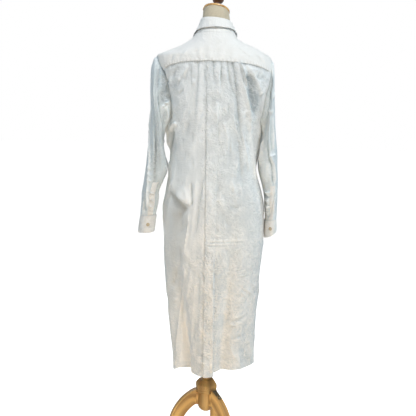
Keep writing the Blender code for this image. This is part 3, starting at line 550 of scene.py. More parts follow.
def linen(name):
    made, tree, inputs = new_material(name, 0.9, sheen=0.15)
    weave = placed(tree, WEAVE, uv_vector(tree, "cloth"), Pitch=0.0011, Slub=1.2)
    plug(tree, inputs["Normal"], raised(tree, weave["Height"], 0.12 * MM))
    plug(tree, inputs["Base Color"], mixed(tree, weave["Tone"], (0.50, 0.41, 0.28), (0.84, 0.75, 0.58)))
    return made


def wood(name, dark, light, roughness, coat, vector_of=object_vector):
    made, tree, inputs = new_material(name, roughness, coat=coat)
    grain = placed(tree, GRAIN, vector_of(tree))
    tone = sums(tree, "MULTIPLY_ADD", grain["Fibre"], 0.6, sums(tree, "MULTIPLY", grain["Bands"], 0.4))
    tone = sums(tree, "MULTIPLY_ADD", tone, 1.8, -0.38)
    plug(tree, inputs["Base Color"], mixed(tree, tone, dark, light))
    plug(tree, inputs["Roughness"], sums(tree, "MULTIPLY_ADD", grain["Fibre"], 0.2, roughness - 0.1))
    plug(tree, inputs["Normal"], raised(tree, grain["Fibre"], 0.15 * MM))
    return made


def shell_button(name):
    """Pearly resin with cloudy tones."""
    made, tree, inputs = new_material(name, 0.28, coat=0.5)
    cloud = noise(tree, object_vector(tree), 260.0, 3.0, 0.6, 1.5)
    plug(tree, inputs["Base Color"], mixed(tree, cloud, (0.40, 0.27, 0.13), (0.80, 0.68, 0.48)))
    plug(tree, inputs["Normal"], raised(tree, cloud, 0.05 * MM))
    return made


def thread(name, colour, shade):
    made, tree, inputs = new_material(name, 0.7, sheen=0.2)
    fuzz = noise(tree, object_vector(tree), 2500.0, 2.0, 0.6)
    plug(tree, inputs["Base Color"], mixed(tree, fuzz, shade, colour))
    return made


def dark_metal(name):
    made, tree, inputs = new_material(name, 0.45, metallic=0.6)
    wear = noise(tree, object_vector(tree), 180.0, 4.0, 0.65)
    plug(tree, inputs["Base Color"], mixed(tree, wear, (0.08, 0.06, 0.035), (0.34, 0.27, 0.16)))
    plug(tree, inputs["Roughness"], sums(tree, "MULTIPLY_ADD", wear, 0.4, 0.25))
    plug(tree, inputs["Normal"], raised(tree, wear, 0.1 * MM))
    return made


# Each poplin's tints are painted light and shade: light tints high and low (cotton cool sky light above and
# warm ground light below, sleeves bluish sky light), a dark tint of painted shade, and the bands' colours of
# painted shade in hollows.
COTTON = poplin("cotton", (0.955, 0.975, 0.975), (0.94, 0.925, 0.895), (0.65, 0.682, 0.69))
COTTON_SLEEVE = poplin("cotton_sleeve", (0.93, 0.965, 0.97), (0.97, 0.985, 0.985), (0.60, 0.67, 0.69))
COTTON_BAND = poplin("cotton_band", (0.99, 0.98, 0.955), (0.98, 0.98, 0.965), (0.84, 0.83, 0.80),
                     (0.66, 0.67, 0.65), (0.66, 0.66, 0.62), 2.2, 0.018)
LINEN = linen("linen")
WOOD = wood("wood", (0.40, 0.19, 0.05), (0.94, 0.58, 0.19), 0.5, 0.08, grain_vector)
WOOD_TURNED = wood("wood_turned", (0.34, 0.18, 0.05), (0.74, 0.46, 0.16), 0.52, 0.1)
WOOD_LIGHT = wood("wood_light", (0.55, 0.27, 0.07), (0.84, 0.52, 0.20), 0.35, 0.5)
WOOD_DARK = wood("wood_dark", (0.07, 0.025, 0.012), (0.19, 0.075, 0.035), 0.3, 0.6)
BUTTON = shell_button("button")
THREAD = thread("thread", (0.90, 0.895, 0.87), (0.74, 0.735, 0.70))
METAL = dark_metal("steel")


# ================================================================ meshes

def add_mesh(name, points, faces, material, replaces=(), uv=None, uv_name="cloth", smooth_angle=55.0):
    """A finished piece out of points from the pole's axis and lists of corners, riding on the root."""
    mesh = bpy.data.meshes.new(name)
    mesh.from_pydata((np.asarray(points) + POLE).tolist(), [], faces)
    if uv is not None:
        layer = mesh.uv_layers.new(name=uv_name)
        layer.data.foreach_set("uv", np.asarray(uv, np.float32).ravel())
    mesh.shade_smooth()
    mesh.set_sharp_from_angle(angle=math.radians(smooth_angle))
    mesh.materials.append(material)
    made = bpy.data.objects.new(name, mesh)
    bpy.context.scene.collection.objects.link(made)
    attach(made, "root")
    if replaces:
        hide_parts(*replaces)
    return made


def grid_normals(grid, wrap=False):
    """Unit normals towards the viewer of a grid whose columns run to the right and rows up."""
    if wrap:
        across = np.roll(grid, -1, axis=1) - np.roll(grid, 1, axis=1)
    else:
        across = np.gradient(grid, axis=1)
    normal = np.cross(across, np.gradient(grid, axis=0))
    return normal / np.maximum(np.linalg.norm(normal, axis=-1, keepdims=True), 1e-12)


def quad_rows(rows, columns, wrap):
    """Corners of every quad of a grid, as row and column arrays of four; the columns may run past a wrap."""
    r, c = np.meshgrid(np.arange(rows - 1), np.arange(columns if wrap else columns - 1), indexing="ij")
    r, c = r.ravel(), c.ravel()
    return np.stack([r, r, r + 1, r + 1], -1), np.stack([c, c + 1, c + 1, c], -1)


def shell(name, middle, thick, uv, material, replaces, wrap=False, flip=False, painted_shading=0.0, crumple_and_glints=0.6):
    """A closed double wall of cloth round a grid of points.  Returns the piece and its outer points.

    Two values go with each point as vertex attributes: the shading field, how far it stands out of the smooth
    form with painted shade and painted light added, and how much the cloth is crumpled there, which gives
    its crinkle bumps and the painted highlights on their crests."""
    rows, columns = middle.shape[:2]
    normal = grid_normals(middle, wrap) * (-1.0 if flip else 1.0)
    half = np.broadcast_to(np.asarray(thick, float), middle.shape[:2])[..., None] / 2
    outer, inner = middle + normal * half, middle - normal * half
    size = rows * columns
    faces, marks = [], []

    def put(walls, r, c, backwards):
        """Quads whose corners lie on the outer wall (0) or the inner one (1)."""
        order = slice(None, None, -1 if backwards else 1)
        faces.append((np.asarray(walls) * size + r * columns + c % columns)[:, order])
        marks.append(uv[r, c][:, order])

    r, c = quad_rows(rows, columns, wrap)
    put(0, r, c, flip)
    put(1, r, c, not flip)
    c = np.arange(columns if wrap else columns - 1)
    across = np.stack([c + 1, c, c, c + 1], -1)
    for row, low in ((0, True), (rows - 1, False)):
        put((0, 0, 1, 1), np.full_like(across, row), across, flip == low)
    if not wrap:
        r = np.arange(rows - 1)
        up = np.stack([r, r + 1, r + 1, r], -1)
        for column, low in ((0, True), (columns - 1, False)):
            put((0, 0, 1, 1), up, np.full_like(up, column), flip == low)
    points = np.concatenate([outer.reshape(-1, 3), inner.reshape(-1, 3)])
    made = add_mesh(name, points, np.concatenate(faces).tolist(), material, replaces,
                    np.concatenate(marks).reshape(-1, 2))
    for label, value in (("painted_shading", np.asarray(painted_shading, float) / MM), ("crumple_and_glints", np.asarray(crumple_and_glints, float))):
        kept = made.data.attributes.new(label, "FLOAT", "POINT")
        once = np.broadcast_to(value, (rows, columns)).ravel()
        kept.data.foreach_set("value", np.concatenate([once, once]).astype(np.float32))
    return made, outer


def sample(grid, rows, columns):
    """Points of a grid at fractional rows and columns."""
    rows, columns = np.broadcast_arrays(np.asarray(rows, float), np.asarray(columns, float))
    r = np.clip(np.floor(rows).astype(int), 0, grid.shape[0] - 2)
    c = np.clip(np.floor(columns).astype(int), 0, grid.shape[1] - 2)
    a, b = (rows - r)[..., None], (columns - c)[..., None]
    return ((grid[r, c] * (1 - b) + grid[r, c + 1] * b) * (1 - a)
            + (grid[r + 1, c] * (1 - b) + grid[r + 1, c + 1] * b) * a)


def smooth_rows(rings, at):
    """Rings read smoothly between the given ones at fractional row numbers."""
    rings = np.asarray(rings, float)
    padded_rings = np.concatenate([2 * rings[:1] - rings[1:2], rings, 2 * rings[-1:] - rings[-2:-1]])
    i = np.clip(np.floor(at).astype(int), 0, len(rings) - 2)
    t = (np.asarray(at, float) - i).reshape((-1,) + (1,) * (rings.ndim - 1))
    p0, p1, p2, p3 = (padded_rings[i + k] for k in range(4))
    return 0.5 * (2 * p1 + (p2 - p0) * t + (2 * p0 - 5 * p1 + 4 * p2 - p3) * t ** 2
                  + (3 * p1 - p0 - 3 * p2 + p3) * t ** 3)


# ================================================================ creases

def crease_shape(away, half):
    """1 on the crease's line, falling like a soft tent."""
    soft = 0.25
    return np.exp(-1.45 * (np.sqrt((away / half) ** 2 + soft ** 2) - soft))


def crease_field(u, v, creases):
    """Sum of ridges (lift above 0) and troughs (below 0) at cloth coordinates u, v, all in metres.

    A crease is its path, its half widths to the left and right of it, its lift, and the shares of its
    length over which it grows at its head and dies away at its tail."""
    field = np.zeros(u.shape)
    for path, left, right, lift, head, tail in creases:
        line = smooth_rows(path, np.linspace(0, len(path) - 1, 6 * (len(path) - 1) + 1))
        reach = 4.0 * max(left, right)
        near = ((u > line[:, 0].min() - reach) & (u < line[:, 0].max() + reach)
                & (v > line[:, 1].min() - reach) & (v < line[:, 1].max() + reach))
        if not near.any():
            continue
        start, step = line[:-1], np.diff(line, axis=0)
        away = np.stack([u[near], v[near]], -1)[:, None] - start
        along = np.clip((away * step).sum(-1) / (step ** 2).sum(-1), 0.0, 1.0)
        gap = away - along[..., None] * step
        distance = np.hypot(gap[..., 0], gap[..., 1])
        best = distance.argmin(axis=1)
        pick = np.arange(len(best))
        side = step[best, 0] * gap[pick, best, 1] - step[best, 1] * gap[pick, best, 0]
        share = (best + along[pick, best]) / len(step)
        grown = ease(0.0, max(head, 1e-3), share) * (1 - ease(1 - max(tail, 1e-3), 1.0, share))
        field[near] += lift * grown * crease_shape(distance[pick, best], np.where(side > 0, left, right))
    return field


BOW = 0.25                  # spread of a scattered crease's sideways bow, as a share of its half length


def scattered(seed, count, u_range, v_range, length, half, lift, heading, spread):
    """Small creases strewn over a box of the cloth.  Heading 0 runs down, 90 to the left."""
    rng = np.random.default_rng(seed)
    made = []
    for _ in range(count):
        middle = np.array((rng.uniform(*u_range), rng.uniform(*v_range))) * MM
        size = rng.uniform(*length) * MM
        turn = math.radians(heading + rng.normal(0, spread))
        along = np.array((math.sin(turn), -math.cos(turn))) * size / 2
        aside = np.array((along[1], -along[0])) * rng.normal(0, BOW)
        wide = rng.uniform(*half) * MM
        depth = rng.uniform(*lift) * MM * rng.choice((-1, 1))
        made.append((np.stack([middle - along, middle + aside, middle + along]), wide, wide, depth, 0.4, 0.5))
    return made


# The way round the dress, from the centre back, at every degree and every ten millimetres of height.
ARC_TURNS = np.arange(-200.0, 200.5, 1.0)
ARC_STEP = 0.01
ARC_HEIGHTS = np.arange(0.29, 1.50, ARC_STEP)


def arc_tables():
    points = skin_base(ARC_TURNS[None, :], ARC_HEIGHTS[:, None])
    ways = way_across(points)
    return ways - ways[:, [np.argmin(np.abs(ARC_TURNS))]], points[..., 0]


def way_across(points):
    """Distance along each row of a grid of points."""
    steps = np.linalg.norm(np.diff(points, axis=1), axis=-1)
    return np.concatenate([np.zeros((len(points), 1)), np.cumsum(steps, axis=1)], axis=1)


ARC, ARC_X = arc_tables()


def way_round(turn, height):
    """Cloth coordinate u of a turn and height."""
    rows = np.clip((np.asarray(height) - ARC_HEIGHTS[0]) / ARC_STEP, 0, len(ARC_HEIGHTS) - 1)
    return sample(ARC[..., None], rows, np.asarray(turn) - ARC_TURNS[0])[..., 0]


def cloth_at(x, z, front=False):
    """Cloth coordinates of the place on the back, or on the front, at x and height z, in metres."""
    row = np.clip((z - ARC_HEIGHTS[0]) / ARC_STEP, 0, len(ARC_HEIGHTS) - 1.001)
    i, t = int(row), row - int(row)
    xs = ARC_X[i] * (1 - t) + ARC_X[i + 1] * t
    ways = ARC[i] * (1 - t) + ARC[i + 1] * t
    if not front:
        part = (ARC_TURNS > -89) & (ARC_TURNS < 89)
        order = np.maximum.accumulate(xs[part])
        return np.interp(x, order, ways[part]), z
    part = (ARC_TURNS >= 91) & (ARC_TURNS <= 180) if x >= 0 else (ARC_TURNS >= -180) & (ARC_TURNS <= -91)
    order = np.maximum.accumulate(xs[part][::-1])
    return np.interp(x, order, ways[part][::-1]), z


CREASE_DEPTH = 1.35


def creases_by(place, rows):
    """Creases on the cloth from rows of mm as seen from behind: x, z, x, z ..., half widths to the left
    and right, lift, head and tail.  Place turns x and z in metres into cloth coordinates."""
    made = []
    for *path, left, right, lift, head, tail in rows:
        points = np.array([place(x * MM, z * MM) for x, z in zip(path[::2], path[1::2])])
        made.append((points, left * MM, right * MM, lift * MM * CREASE_DEPTH, head, tail))
    return made


# Creases of the back, below the yoke, as creases_by reads them.
BACK_CREASES = (
    # the gathers under the yoke
    (62, 1345, 61, 1299, 66, 1200, 70, 1060, 5, 7, -4.5, 0.02, 0.6),
    (41, 1326, 39, 1297, 38, 1269, 4, 4, -2.0, 0.3, 0.4),
    (13, 1345, 11, 1297, -2, 1258, 3, 4, -4.0, 0.02, 0.5),
    (-6, 1338, -7, 1279, -11, 1211, 3.5, 3.5, 2.2, 0.1, 0.5),
    (-12, 1347, -13, 1300, -15, 1258, 3, 3, -5.0, 0.02, 0.4),
    (-31, 1344, -38, 1302, -50, 1260, 3, 3, -4.6, 0.02, 0.4),
    (-22, 1343, -27, 1312, -38, 1262, 4, 4, 3.0, 0.05, 0.5),
    # the long folds that run from the right of the yoke down to the right hip
    (-48, 1343, -55, 1313, -62, 1273, -69, 1217, -78, 1150, -97, 1083, 6, 5, -6.5, 0.02, 0.4),
    (-68, 1146, -83, 1051, -92, 986, -97, 912, 11, 11, -5.0, 0.3, 0.5),
    (-63, 1346, -72, 1323, -83, 1284, -95, 1241, -109, 1194, -116, 1134, -128, 1049, 9, 3.5, 8.5, 0.02, 0.3),
    (-116, 1134, -128, 1049, -138, 990, -147, 941, 10, 5, 6.0, 0.4, 0.5),
    (-64, 1343, -76, 1315, -85, 1284, -92, 1256, 2.8, 2.8, -8.0, 0.02, 0.4),
    (-70, 1343, -83, 1314, -94, 1284, -99, 1258, 3.2, 3.2, 11.0, 0.03, 0.3),
    (-97, 1314, -105, 1280, -112, 1248, -120, 1212, -130, 1165, 7, 15, -13.0, 0.15, 0.35),
    (-92, 1337, -116, 1308, -134, 1279, -149, 1249, -158, 1215, 4, 10, 5.0, 0.05, 0.5),
    (-139, 1242, -147, 1250, -152, 1256, -162, 1270, 2.8, 2.8, 5.0, 0.2, 0.3),
    (-123, 1305, -141, 1295, -154, 1303, 3, 3, -3.4, 0.3, 0.4),
    (-110, 1330, -126, 1320, -142, 1326, 3, 3, 3.0, 0.3, 0.4),
    (-146, 1308, -155, 1296, -152, 1286, 4, 4, -3.0, 0.3, 0.4),
    (-53, 1189, -59, 1163, -66, 1136, -79, 1103, -102, 1049, 3.5, 3.5, 3.6, 0.2, 0.4),
    (-60, 1182, -68, 1143, -79, 1109, 3, 3, -3.0, 0.3, 0.4),
    (-83, 1140, -93, 1099, -108, 1041, -128, 975, 3.5, 3.5, 3.8, 0.2, 0.4),
    (-24, 1158, -34, 1126, -46, 1066, 3.5, 3.5, 2.6, 0.3, 0.4),
    (-32, 1299, -43, 1273, -58, 1240, -62, 1210, 3, 3, -3.0, 0.2, 0.5),
    (-27, 1214, -31, 1193, -33, 1168, 3.5, 3.5, 2.2, 0.3, 0.4),
    (1, 1229, -5, 1186, -5, 1148, 3.5, 3.5, 1.8, 0.3, 0.4),
    (-58, 977, -66, 939, -77, 893, 7, 7, 3.4, 0.3, 0.4),
    (-47, 891, -74, 880, -94, 890, 5, 5, -3.0, 0.3, 0.4),
    (-20, 938, -22, 923, -26, 910, 4, 4, 2.4, 0.3, 0.4),
    (-11, 906, -18, 894, -25, 884, 4, 4, -2.0, 0.3, 0.4),
    # beside the left armhole
    (105, 1304, 116, 1279, 130, 1251, 4, 4, -3.0, 0.3, 0.4),
    (100, 1257, 112, 1244, 130, 1226, 4, 4, -3.0, 0.3, 0.4),
    (91, 1330, 106, 1302, 123, 1271, 4, 4, 3.0, 0.1, 0.4),
    (122, 1326, 136, 1301, 141, 1281, 4, 4, -3.4, 0.1, 0.4),
    (141, 1291, 148, 1281, 153, 1268, 3, 3, 4.0, 0.3, 0.4),
    (151, 1293, 154, 1280, 152, 1268, 4, 4, -3.5, 0.3, 0.4),
    (87, 1330, 95, 1302, 104, 1271, 3, 3, -2.4, 0.2, 0.4),
    (82, 1337, 83, 1290, 77, 1246, 4, 4, -2.4, 0.1, 0.4),
    (150, 1250, 148, 1200, 143, 1150, 10, 12, -7.0, 0.3, 0.3),
    (142, 1117, 139, 1127, 128, 1147, 123, 1134, 2.8, 2.8, 9.0, 0.2, 0.2),
    (134, 1129, 138, 1090, 142, 1064, 147, 1017, 149, 975, 6, 6, -7.0, 0.08, 0.4),
    # the cloth that bunches under both arms
    (156, 1180, 150, 1112, 147, 1088, 145, 1046, 14, 14, 8.5, 0.2, 0.32),
    (142, 1026, 146, 1003, 152, 976, 7, 7, 3.0, 0.4, 0.4),
    (-153, 1160, -150, 1110, -148, 1060, -147, 1008, 12, 12, 5.6, 0.2, 0.3),
    # the bump at the left hip, with cloth hanging from it
    (134, 953, 140, 940, 146, 927, 2.6, 2.6, 4.0, 0.3, 0.4),
    (126, 917, 112, 908, 98, 899, 84, 892, 72, 886, 3.5, 24, 6.5, 0.3, 0.1),
    (146, 924, 124, 906, 102, 886, 80, 866, 30, 10, -5.0, 0.15, 0.15),
    (108, 870, 103, 830, 104, 771, 16, 16, -3.5, 0.3, 0.5),
    (95, 951, 88, 922, 82, 898, 8, 7, 3.2, 0.4, 0.1),
    (74, 965, 71, 925, 69, 880, 3, 3, -6.5, 0.35, 0.15),
    (58, 1016, 57, 948, 60, 887, 66, 821, 73, 755, 82, 691, 4, 8, 2.8, 0.3, 0.6),
    (80, 864, 79, 838, 81, 805, 85, 772, 89, 735, 95, 691, 2.4, 3.4, 4.0, 0.15, 0.4),
    (31, 997, 38, 945, 46, 897, 53, 821, 64, 765, 5, 4, -4.5, 0.3, 0.4),
    (33, 975, 34, 936, 34, 897, 3, 6, 2.6, 0.3, 0.2),
    (33, 860, 30, 776, 29, 704, 3.5, 3.5, 2.4, 0.2, 0.4),
    # the long folds of the left side, down to the hem
    (85, 680, 89, 621, 98, 524, 106, 444, 109, 399, 110, 350, 2.6, 5, 3.0, 0.06, 0.3),
    (62, 705, 74, 605, 82, 520, 88, 417, 96, 330, 3, 4, 2.0, 0.2, 0.05),
    (124, 554, 113, 562, 102, 567, 4, 4, 3.0, 0.3, 0.4),
    (126, 600, 116, 640, 112, 690, 8, 8, -3.0, 0.3, 0.4),
    (57, 701, 69, 571, 78, 403, 4, 4, -1.0, 0.3, 0.3),
    (48, 716, 54, 574, 59, 398, 4, 4, 2.0, 0.3, 0.3),
    (38, 683, 40, 542, 43, 403, 4, 4, -2.0, 0.3, 0.3),
    (29, 483, 16, 468, 5, 455, 3, 3, 3.4, 0.2, 0.4),
    (16, 440, 24, 452, 30, 466, 3, 3, 2.4, 0.2, 0.4),
    (50, 396, 34, 390, 8, 384, 3, 3, -2.6, 0.3, 0.3),
    (44, 369, 22, 366, 2, 361, 3, 3, 2.6, 0.3, 0.3),
    # four bright creases across the seat and the right edge of the strip below them
    (19, 775, -50, 773, -128, 775, 2.2, 2.2, 1.6, 0.05, 0.3),
    (19, 764, -50, 762, -106, 764, 2.2, 2.2, 1.4, 0.05, 0.4),
    (19, 753, -30, 752, -84, 754, 2.2, 2.2, 1.4, 0.05, 0.4),
    (19, 744, -16, 743, -48, 745, 2.2, 2.2, 1.2, 0.05, 0.4),
    (-3, 730, -4, 560, -8, 330, 4.5, 2.4, 4.0, 0.3, 0.02),
    (-12, 740, -13, 560, -18, 330, 2.2, 3.0, -1.2, 0.3, 0.02),
    # the right side of the skirt
    (-75, 631, -107, 592, -142, 553, 3, 3, 2.4, 0.2, 0.4),
    (-88, 631, -123, 601, -150, 575, 3, 3, 2.4, 0.2, 0.4),
    (-106, 643, -133, 624, -161, 602, 3, 3, 2.2, 0.3, 0.4),
    (-82, 632, -115, 597, -147, 565, 3, 3, -2.4, 0.3, 0.4),
    (1, 652, -2, 636, 0, 616, 3.5, 3.5, 2.8, 0.3, 0.4),
    (-59, 485, -93, 490, -127, 504, 3, 3, 3.0, 0.2, 0.4),
    (-66, 508, -101, 517, -126, 526, 3, 3, 3.0, 0.2, 0.4),
    (-62, 497, -96, 504, -126, 515, 3, 3, -2.4, 0.2, 0.4),
    (-63, 435, -78, 393, -100, 345, 4, 4, 2.8, 0.3, 0.3),
    (-103, 435, -114, 415, -128, 390, 4, 4, 2.4, 0.3, 0.4),
    (-67, 431, -97, 435, -130, 439, 3.5, 3.5, 1.8, 0.3, 0.4),
    (-66, 445, -96, 444, -130, 449, 3.5, 3.5, -2.4, 0.3, 0.4),
    (-101, 480, -124, 478, -140, 483, 3, 3, -2.0, 0.3, 0.4),
)

# The same for the hidden front: the drape from the bust and the long folds of the skirt.
FRONT_CREASES = (
    (118, 1290, 96, 1236, 70, 1180, 8, 12, -6.0, 0.2, 0.5),
    (-126, 1296, -102, 1240, -66, 1186, 12, 8, -6.5, 0.2, 0.5),
    (132, 1150, 108, 1168, 82, 1176, 4, 5, 3.6, 0.2, 0.5),
    (-140, 1146, -112, 1160, -88, 1176, 5, 4, 3.8, 0.2, 0.5),
    (92, 1168, 88, 1070, 96, 960, 8, 11, -5.0, 0.3, 0.5),
    (-84, 1160, -86, 1050, -102, 930, 11, 8, -5.5, 0.3, 0.5),
    (60, 1190, 54, 1040, 60, 860, 5, 7, 3.6, 0.3, 0.4),
    (-58, 1200, -52, 1060, -56, 880, 7, 5, 3.4, 0.3, 0.4),
    (128, 1060, 122, 980, 126, 900, 9, 9, -5.0, 0.3, 0.5),
    (-130, 1080, -124, 1000, -136, 910, 9, 9, -5.0, 0.3, 0.5),
    (34, 1120, 32, 1010, 36, 900, 4, 4, -2.4, 0.3, 0.4),
    (-36, 1110, -38, 990, -34, 860, 4, 4, -2.6, 0.3, 0.4),
    (84, 830, 92, 700, 102, 560, 6, 9, -4.5, 0.3, 0.4),
    (-90, 840, -98, 690, -112, 540, 9, 6, -4.5, 0.3, 0.4),
    (46, 780, 52, 620, 50, 440, 6, 6, 3.4, 0.3, 0.3),
    (-50, 760, -58, 600, -64, 430, 6, 6, 3.6, 0.3, 0.3),
    (120, 760, 128, 640, 118, 500, 6, 6, 3.0, 0.3, 0.4),
    (-132, 780, -142, 640, -140, 480, 6, 6, 3.0, 0.3, 0.4),
    (38, 1345, 46, 1318, 50, 1290, 5, 5, -2.0, 0.2, 0.5),
    (-40, 1345, -44, 1316, -52, 1286, 5, 5, -2.0, 0.2, 0.5),
    (100, 1330, 92, 1306, 88, 1282, 5, 5, 2.2, 0.2, 0.5),
    (-104, 1330, -96, 1310, -94, 1286, 5, 5, 2.2, 0.2, 0.5),
)

# Creases on the yoke, seen from behind: soft upright ones in the middle, slanting ones to the right.
YOKE_CREASES = (
    (72, 1408, 66, 1376, 64, 1349, 5, 5, -1.6, 0.4, 0.1),
    (58, 1398, 52, 1372, 50, 1349, 4, 4, 1.2, 0.4, 0.1),
    (38, 1404, 36, 1376, 38, 1349, 6, 6, -2.0, 0.5, 0.1),
    (20, 1398, 20, 1372, 22, 1349, 4, 4, 1.0, 0.4, 0.1),
    (-2, 1400, -1, 1374, 0, 1349, 5, 5, -1.4, 0.5, 0.1),
    (-20, 1398, -20, 1372, -18, 1349, 5, 5, 1.2, 0.4, 0.1),
    (-40, 1402, -42, 1374, -40, 1349, 7, 7, -1.8, 0.4, 0.1),
    (-62, 1404, -72, 1386, -92, 1372, 4, 4, -1.6, 0.3, 0.4),
    (-66, 1396, -84, 1380, -106, 1366, 3.5, 3.5, 1.6, 0.3, 0.4),
    (-70, 1384, -92, 1370, -112, 1352, 3.5, 3.5, -1.6, 0.3, 0.4),
    (-120, 1374, -136, 1362, -146, 1344, 5, 5, -2.2, 0.3, 0.4),
    (-138, 1370, -152, 1356, -160, 1338, 4, 4, 2.0, 0.3, 0.4),
    (-104, 1352, -126, 1342, -146, 1328, 3.5, 3.5, 1.6, 0.3, 0.4),
    (116, 1392, 128, 1376, 136, 1360, 4, 4, -1.8, 0.3, 0.4),
    (92, 1390, 98, 1374, 104, 1358, 4, 4, 1.6, 0.3, 0.4),
    (134, 1372, 142, 1356, 146, 1338, 4, 4, -1.8, 0.3, 0.3),
    (104, 1380, 116, 1362, 124, 1346, 4, 4, -1.4, 0.3, 0.3),
)


CRUMPLE_DEPTH = 2.0


def crumple_creases():
    """The small uneven crumpling of cotton after wear and washing, thicker on the right and low on the back.
    """
    areas = (
        # seed, count, u range, v range, length, half, lift, heading, spread
        (11, 90, (-240, 240), (330, 1330), (60, 150), (9, 16), (0.6, 1.5), 0, 16),
        (12, 70, (-190, -20), (860, 1180), (18, 50), (3.0, 5.0), (0.4, 1.1), -14, 24),
        (13, 80, (-190, -15), (560, 860), (16, 44), (3.0, 4.6), (0.4, 1.0), -20, 45),
        (14, 120, (-180, -15), (330, 600), (12, 34), (2.8, 4.4), (0.4, 1.2), 50, 55),
        (15, 40, (-12, 30), (330, 1320), (10, 30), (2.8, 4.0), (0.3, 0.9), 60, 50),
        (16, 70, (20, 110), (330, 760), (30, 90), (2.8, 4.4), (0.3, 0.9), -8, 10),
        (17, 50, (30, 200), (940, 1320), (24, 70), (3.4, 6.0), (0.4, 1.1), 6, 18),
        (18, 60, (-150, -90), (1090, 1200), (8, 22), (2.6, 3.8), (0.5, 1.2), 30, 60),
        (19, 60, (230, 440), (340, 1320), (30, 90), (3.4, 7.0), (0.4, 1.2), 0, 30),
        (20, 60, (-440, -230), (340, 1320), (30, 90), (3.4, 7.0), (0.4, 1.2), 0, 30),
        (21, 26, (-60, 60), (1300, 1340), (16, 36), (2.6, 4.0), (0.5, 1.3), 0, 8),
        (22, 26, (60, 190), (1270, 1335), (14, 34), (2.6, 4.0), (0.5, 1.4), 0, 14),
        (23, 26, (-190, -60), (1270, 1335), (14, 34), (2.6, 4.0), (0.5, 1.4), 20, 16),
    )
    made = [crease for area in areas for crease in scattered(*area)]
    return [(path, left, right, lift * CRUMPLE_DEPTH, head, tail)
            for path, left, right, lift, head, tail in made]


def yoke_crumple():
    made = scattered(31, 46, (-200, 200), (1352, 1378), (10, 26), (2.6, 4.0), (0.3, 0.9), 0, 14)
    made += scattered(32, 34, (-200, 200), (1360, 1430), (20, 50), (4.0, 8.0), (0.3, 0.8), 30, 50)
    return made


# Painted shade and painted light, for the colour only: below 0 a depth of painted shade where the cloth round
# a place shades it, above 0 painted light on bright folds, instead of lift.
BACK_SHADE = (
    (-96, 1305, -104, 1280, -112, 1250, -122, 1205, -132, 1150, 9, 17, -11.0, 0.12, 0.35),
    (-70, 1343, -83, 1314, -94, 1284, -99, 1262, 3.6, 3.4, 22.0, 0.02, 0.3),
    (-66, 1200, -72, 1160, -88, 1100, -100, 1040, 9, 6, -4.0, 0.2, 0.4),
    (146, 924, 124, 906, 102, 886, 80, 866, 34, 11, -4.5, 0.1, 0.1),
    (19, 769, -50, 767, -116, 769, 2.4, 2.4, -3.0, 0.05, 0.3),
    (19, 758, -30, 757, -92, 759, 2.4, 2.4, -3.0, 0.05, 0.3),
    (74, 560, 76, 470, 75, 400, 72, 345, 12, 11, 5.0, 0.3, 0.02),
    (100, 560, 107, 470, 111, 400, 112, 345, 9, 8, -5.0, 0.3, 0.02),
    (19, 775, -50, 773, -128, 775, 2.2, 2.2, 8.0, 0.05, 0.3),
    (19, 764, -50, 762, -106, 764, 2.2, 2.2, 5.0, 0.05, 0.4),
    (19, 753, -30, 752, -84, 754, 2.2, 2.2, 5.0, 0.05, 0.4),
    (19, 744, -16, 743, -48, 745, 2.2, 2.2, 4.0, 0.05, 0.4),
    (8, 660, 2, 610, -3, 559, -4, 509, -7, 458, -7, 330, 3.2, 3.2, 6.0, 0.2, 0.02),
    (122, 880, 122, 760, 124, 600, 122, 480, 34, 26, -4.0, 0.1, 0.3),
    (-60, 960, -60, 860, -64, 780, 60, 60, -1.6, 0.4, 0.4),
    (132, 1124, 139, 1080, 146, 1020, 149, 970, 7, 7, -6.0, 0.08, 0.4),
    (146, 1292, 130, 1262, 118, 1236, 10, 10, -5.0, 0.2, 0.4),
    (50, 1338, 48, 1222, 46, 1159, 44, 1090, 8, 7, 7.0, 0.02, 0.35),
    (-124, 1262, -132, 1228, -138, 1190, 12, 14, -5.0, 0.3, 0.3),
)

BACK_SHADE_SET = creases_by(cloth_at, BACK_SHADE)
BACK_SET = (creases_by(cloth_at, BACK_CREASES)
            + creases_by(lambda x, z: cloth_at(x, z, front=True), FRONT_CREASES) + crumple_creases())
YOKE_SET = creases_by(cloth_at, YOKE_CREASES) + yoke_crumple()

FORM = table(("height", "left", "right", "back", "front"), (
    (744, 132, 150, 92, 94), (752, 143, 161, 104, 106), (775, 149, 166, 111, 112), (820, 150, 166, 111, 112),
    (900, 139, 150, 102, 103), (960, 126, 130, 92, 96), (1020, 117, 117, 87, 94), (1100, 128, 126, 92, 108),
    (1200, 142, 136, 96, 121), (1250, 147, 142, 94, 119), (1300, 154, 150, 91, 107),
    (1340, 164, 162, 88, 95), (1360, 165, 164, 88, 90), (1374, 155, 155, 85, 87)))
FORM_LOW = 744 * MM
FORM_HIGH = 1374 * MM
FORM_CLEAR = 1.7 * MM       # kept between a trough and the form


def room_under(turn, height):
    """How deep a trough may be before it nears the form."""
    base = skin_base(turn, height)
    side, depth = half_axes(FORM, base[..., 0], base[..., 1], height)
    share = np.hypot(base[..., 0] / side, base[..., 1] / depth)
    gap = np.hypot(base[..., 0], base[..., 1]) * (1 - 1 / np.maximum(share, 1e-3))
    gap = np.where(height > FORM_HIGH, WALL + FORM_GAP, gap)
    gap = np.where(height < FORM_LOW - 0.03, 1.0, gap)
    return np.maximum(gap - FORM_CLEAR, 0.3 * MM)


def held_off(field, room):
    """Troughs softened so that none is deeper than its room."""
    return np.where(field < 0, -room * np.tanh(-field / room), field)


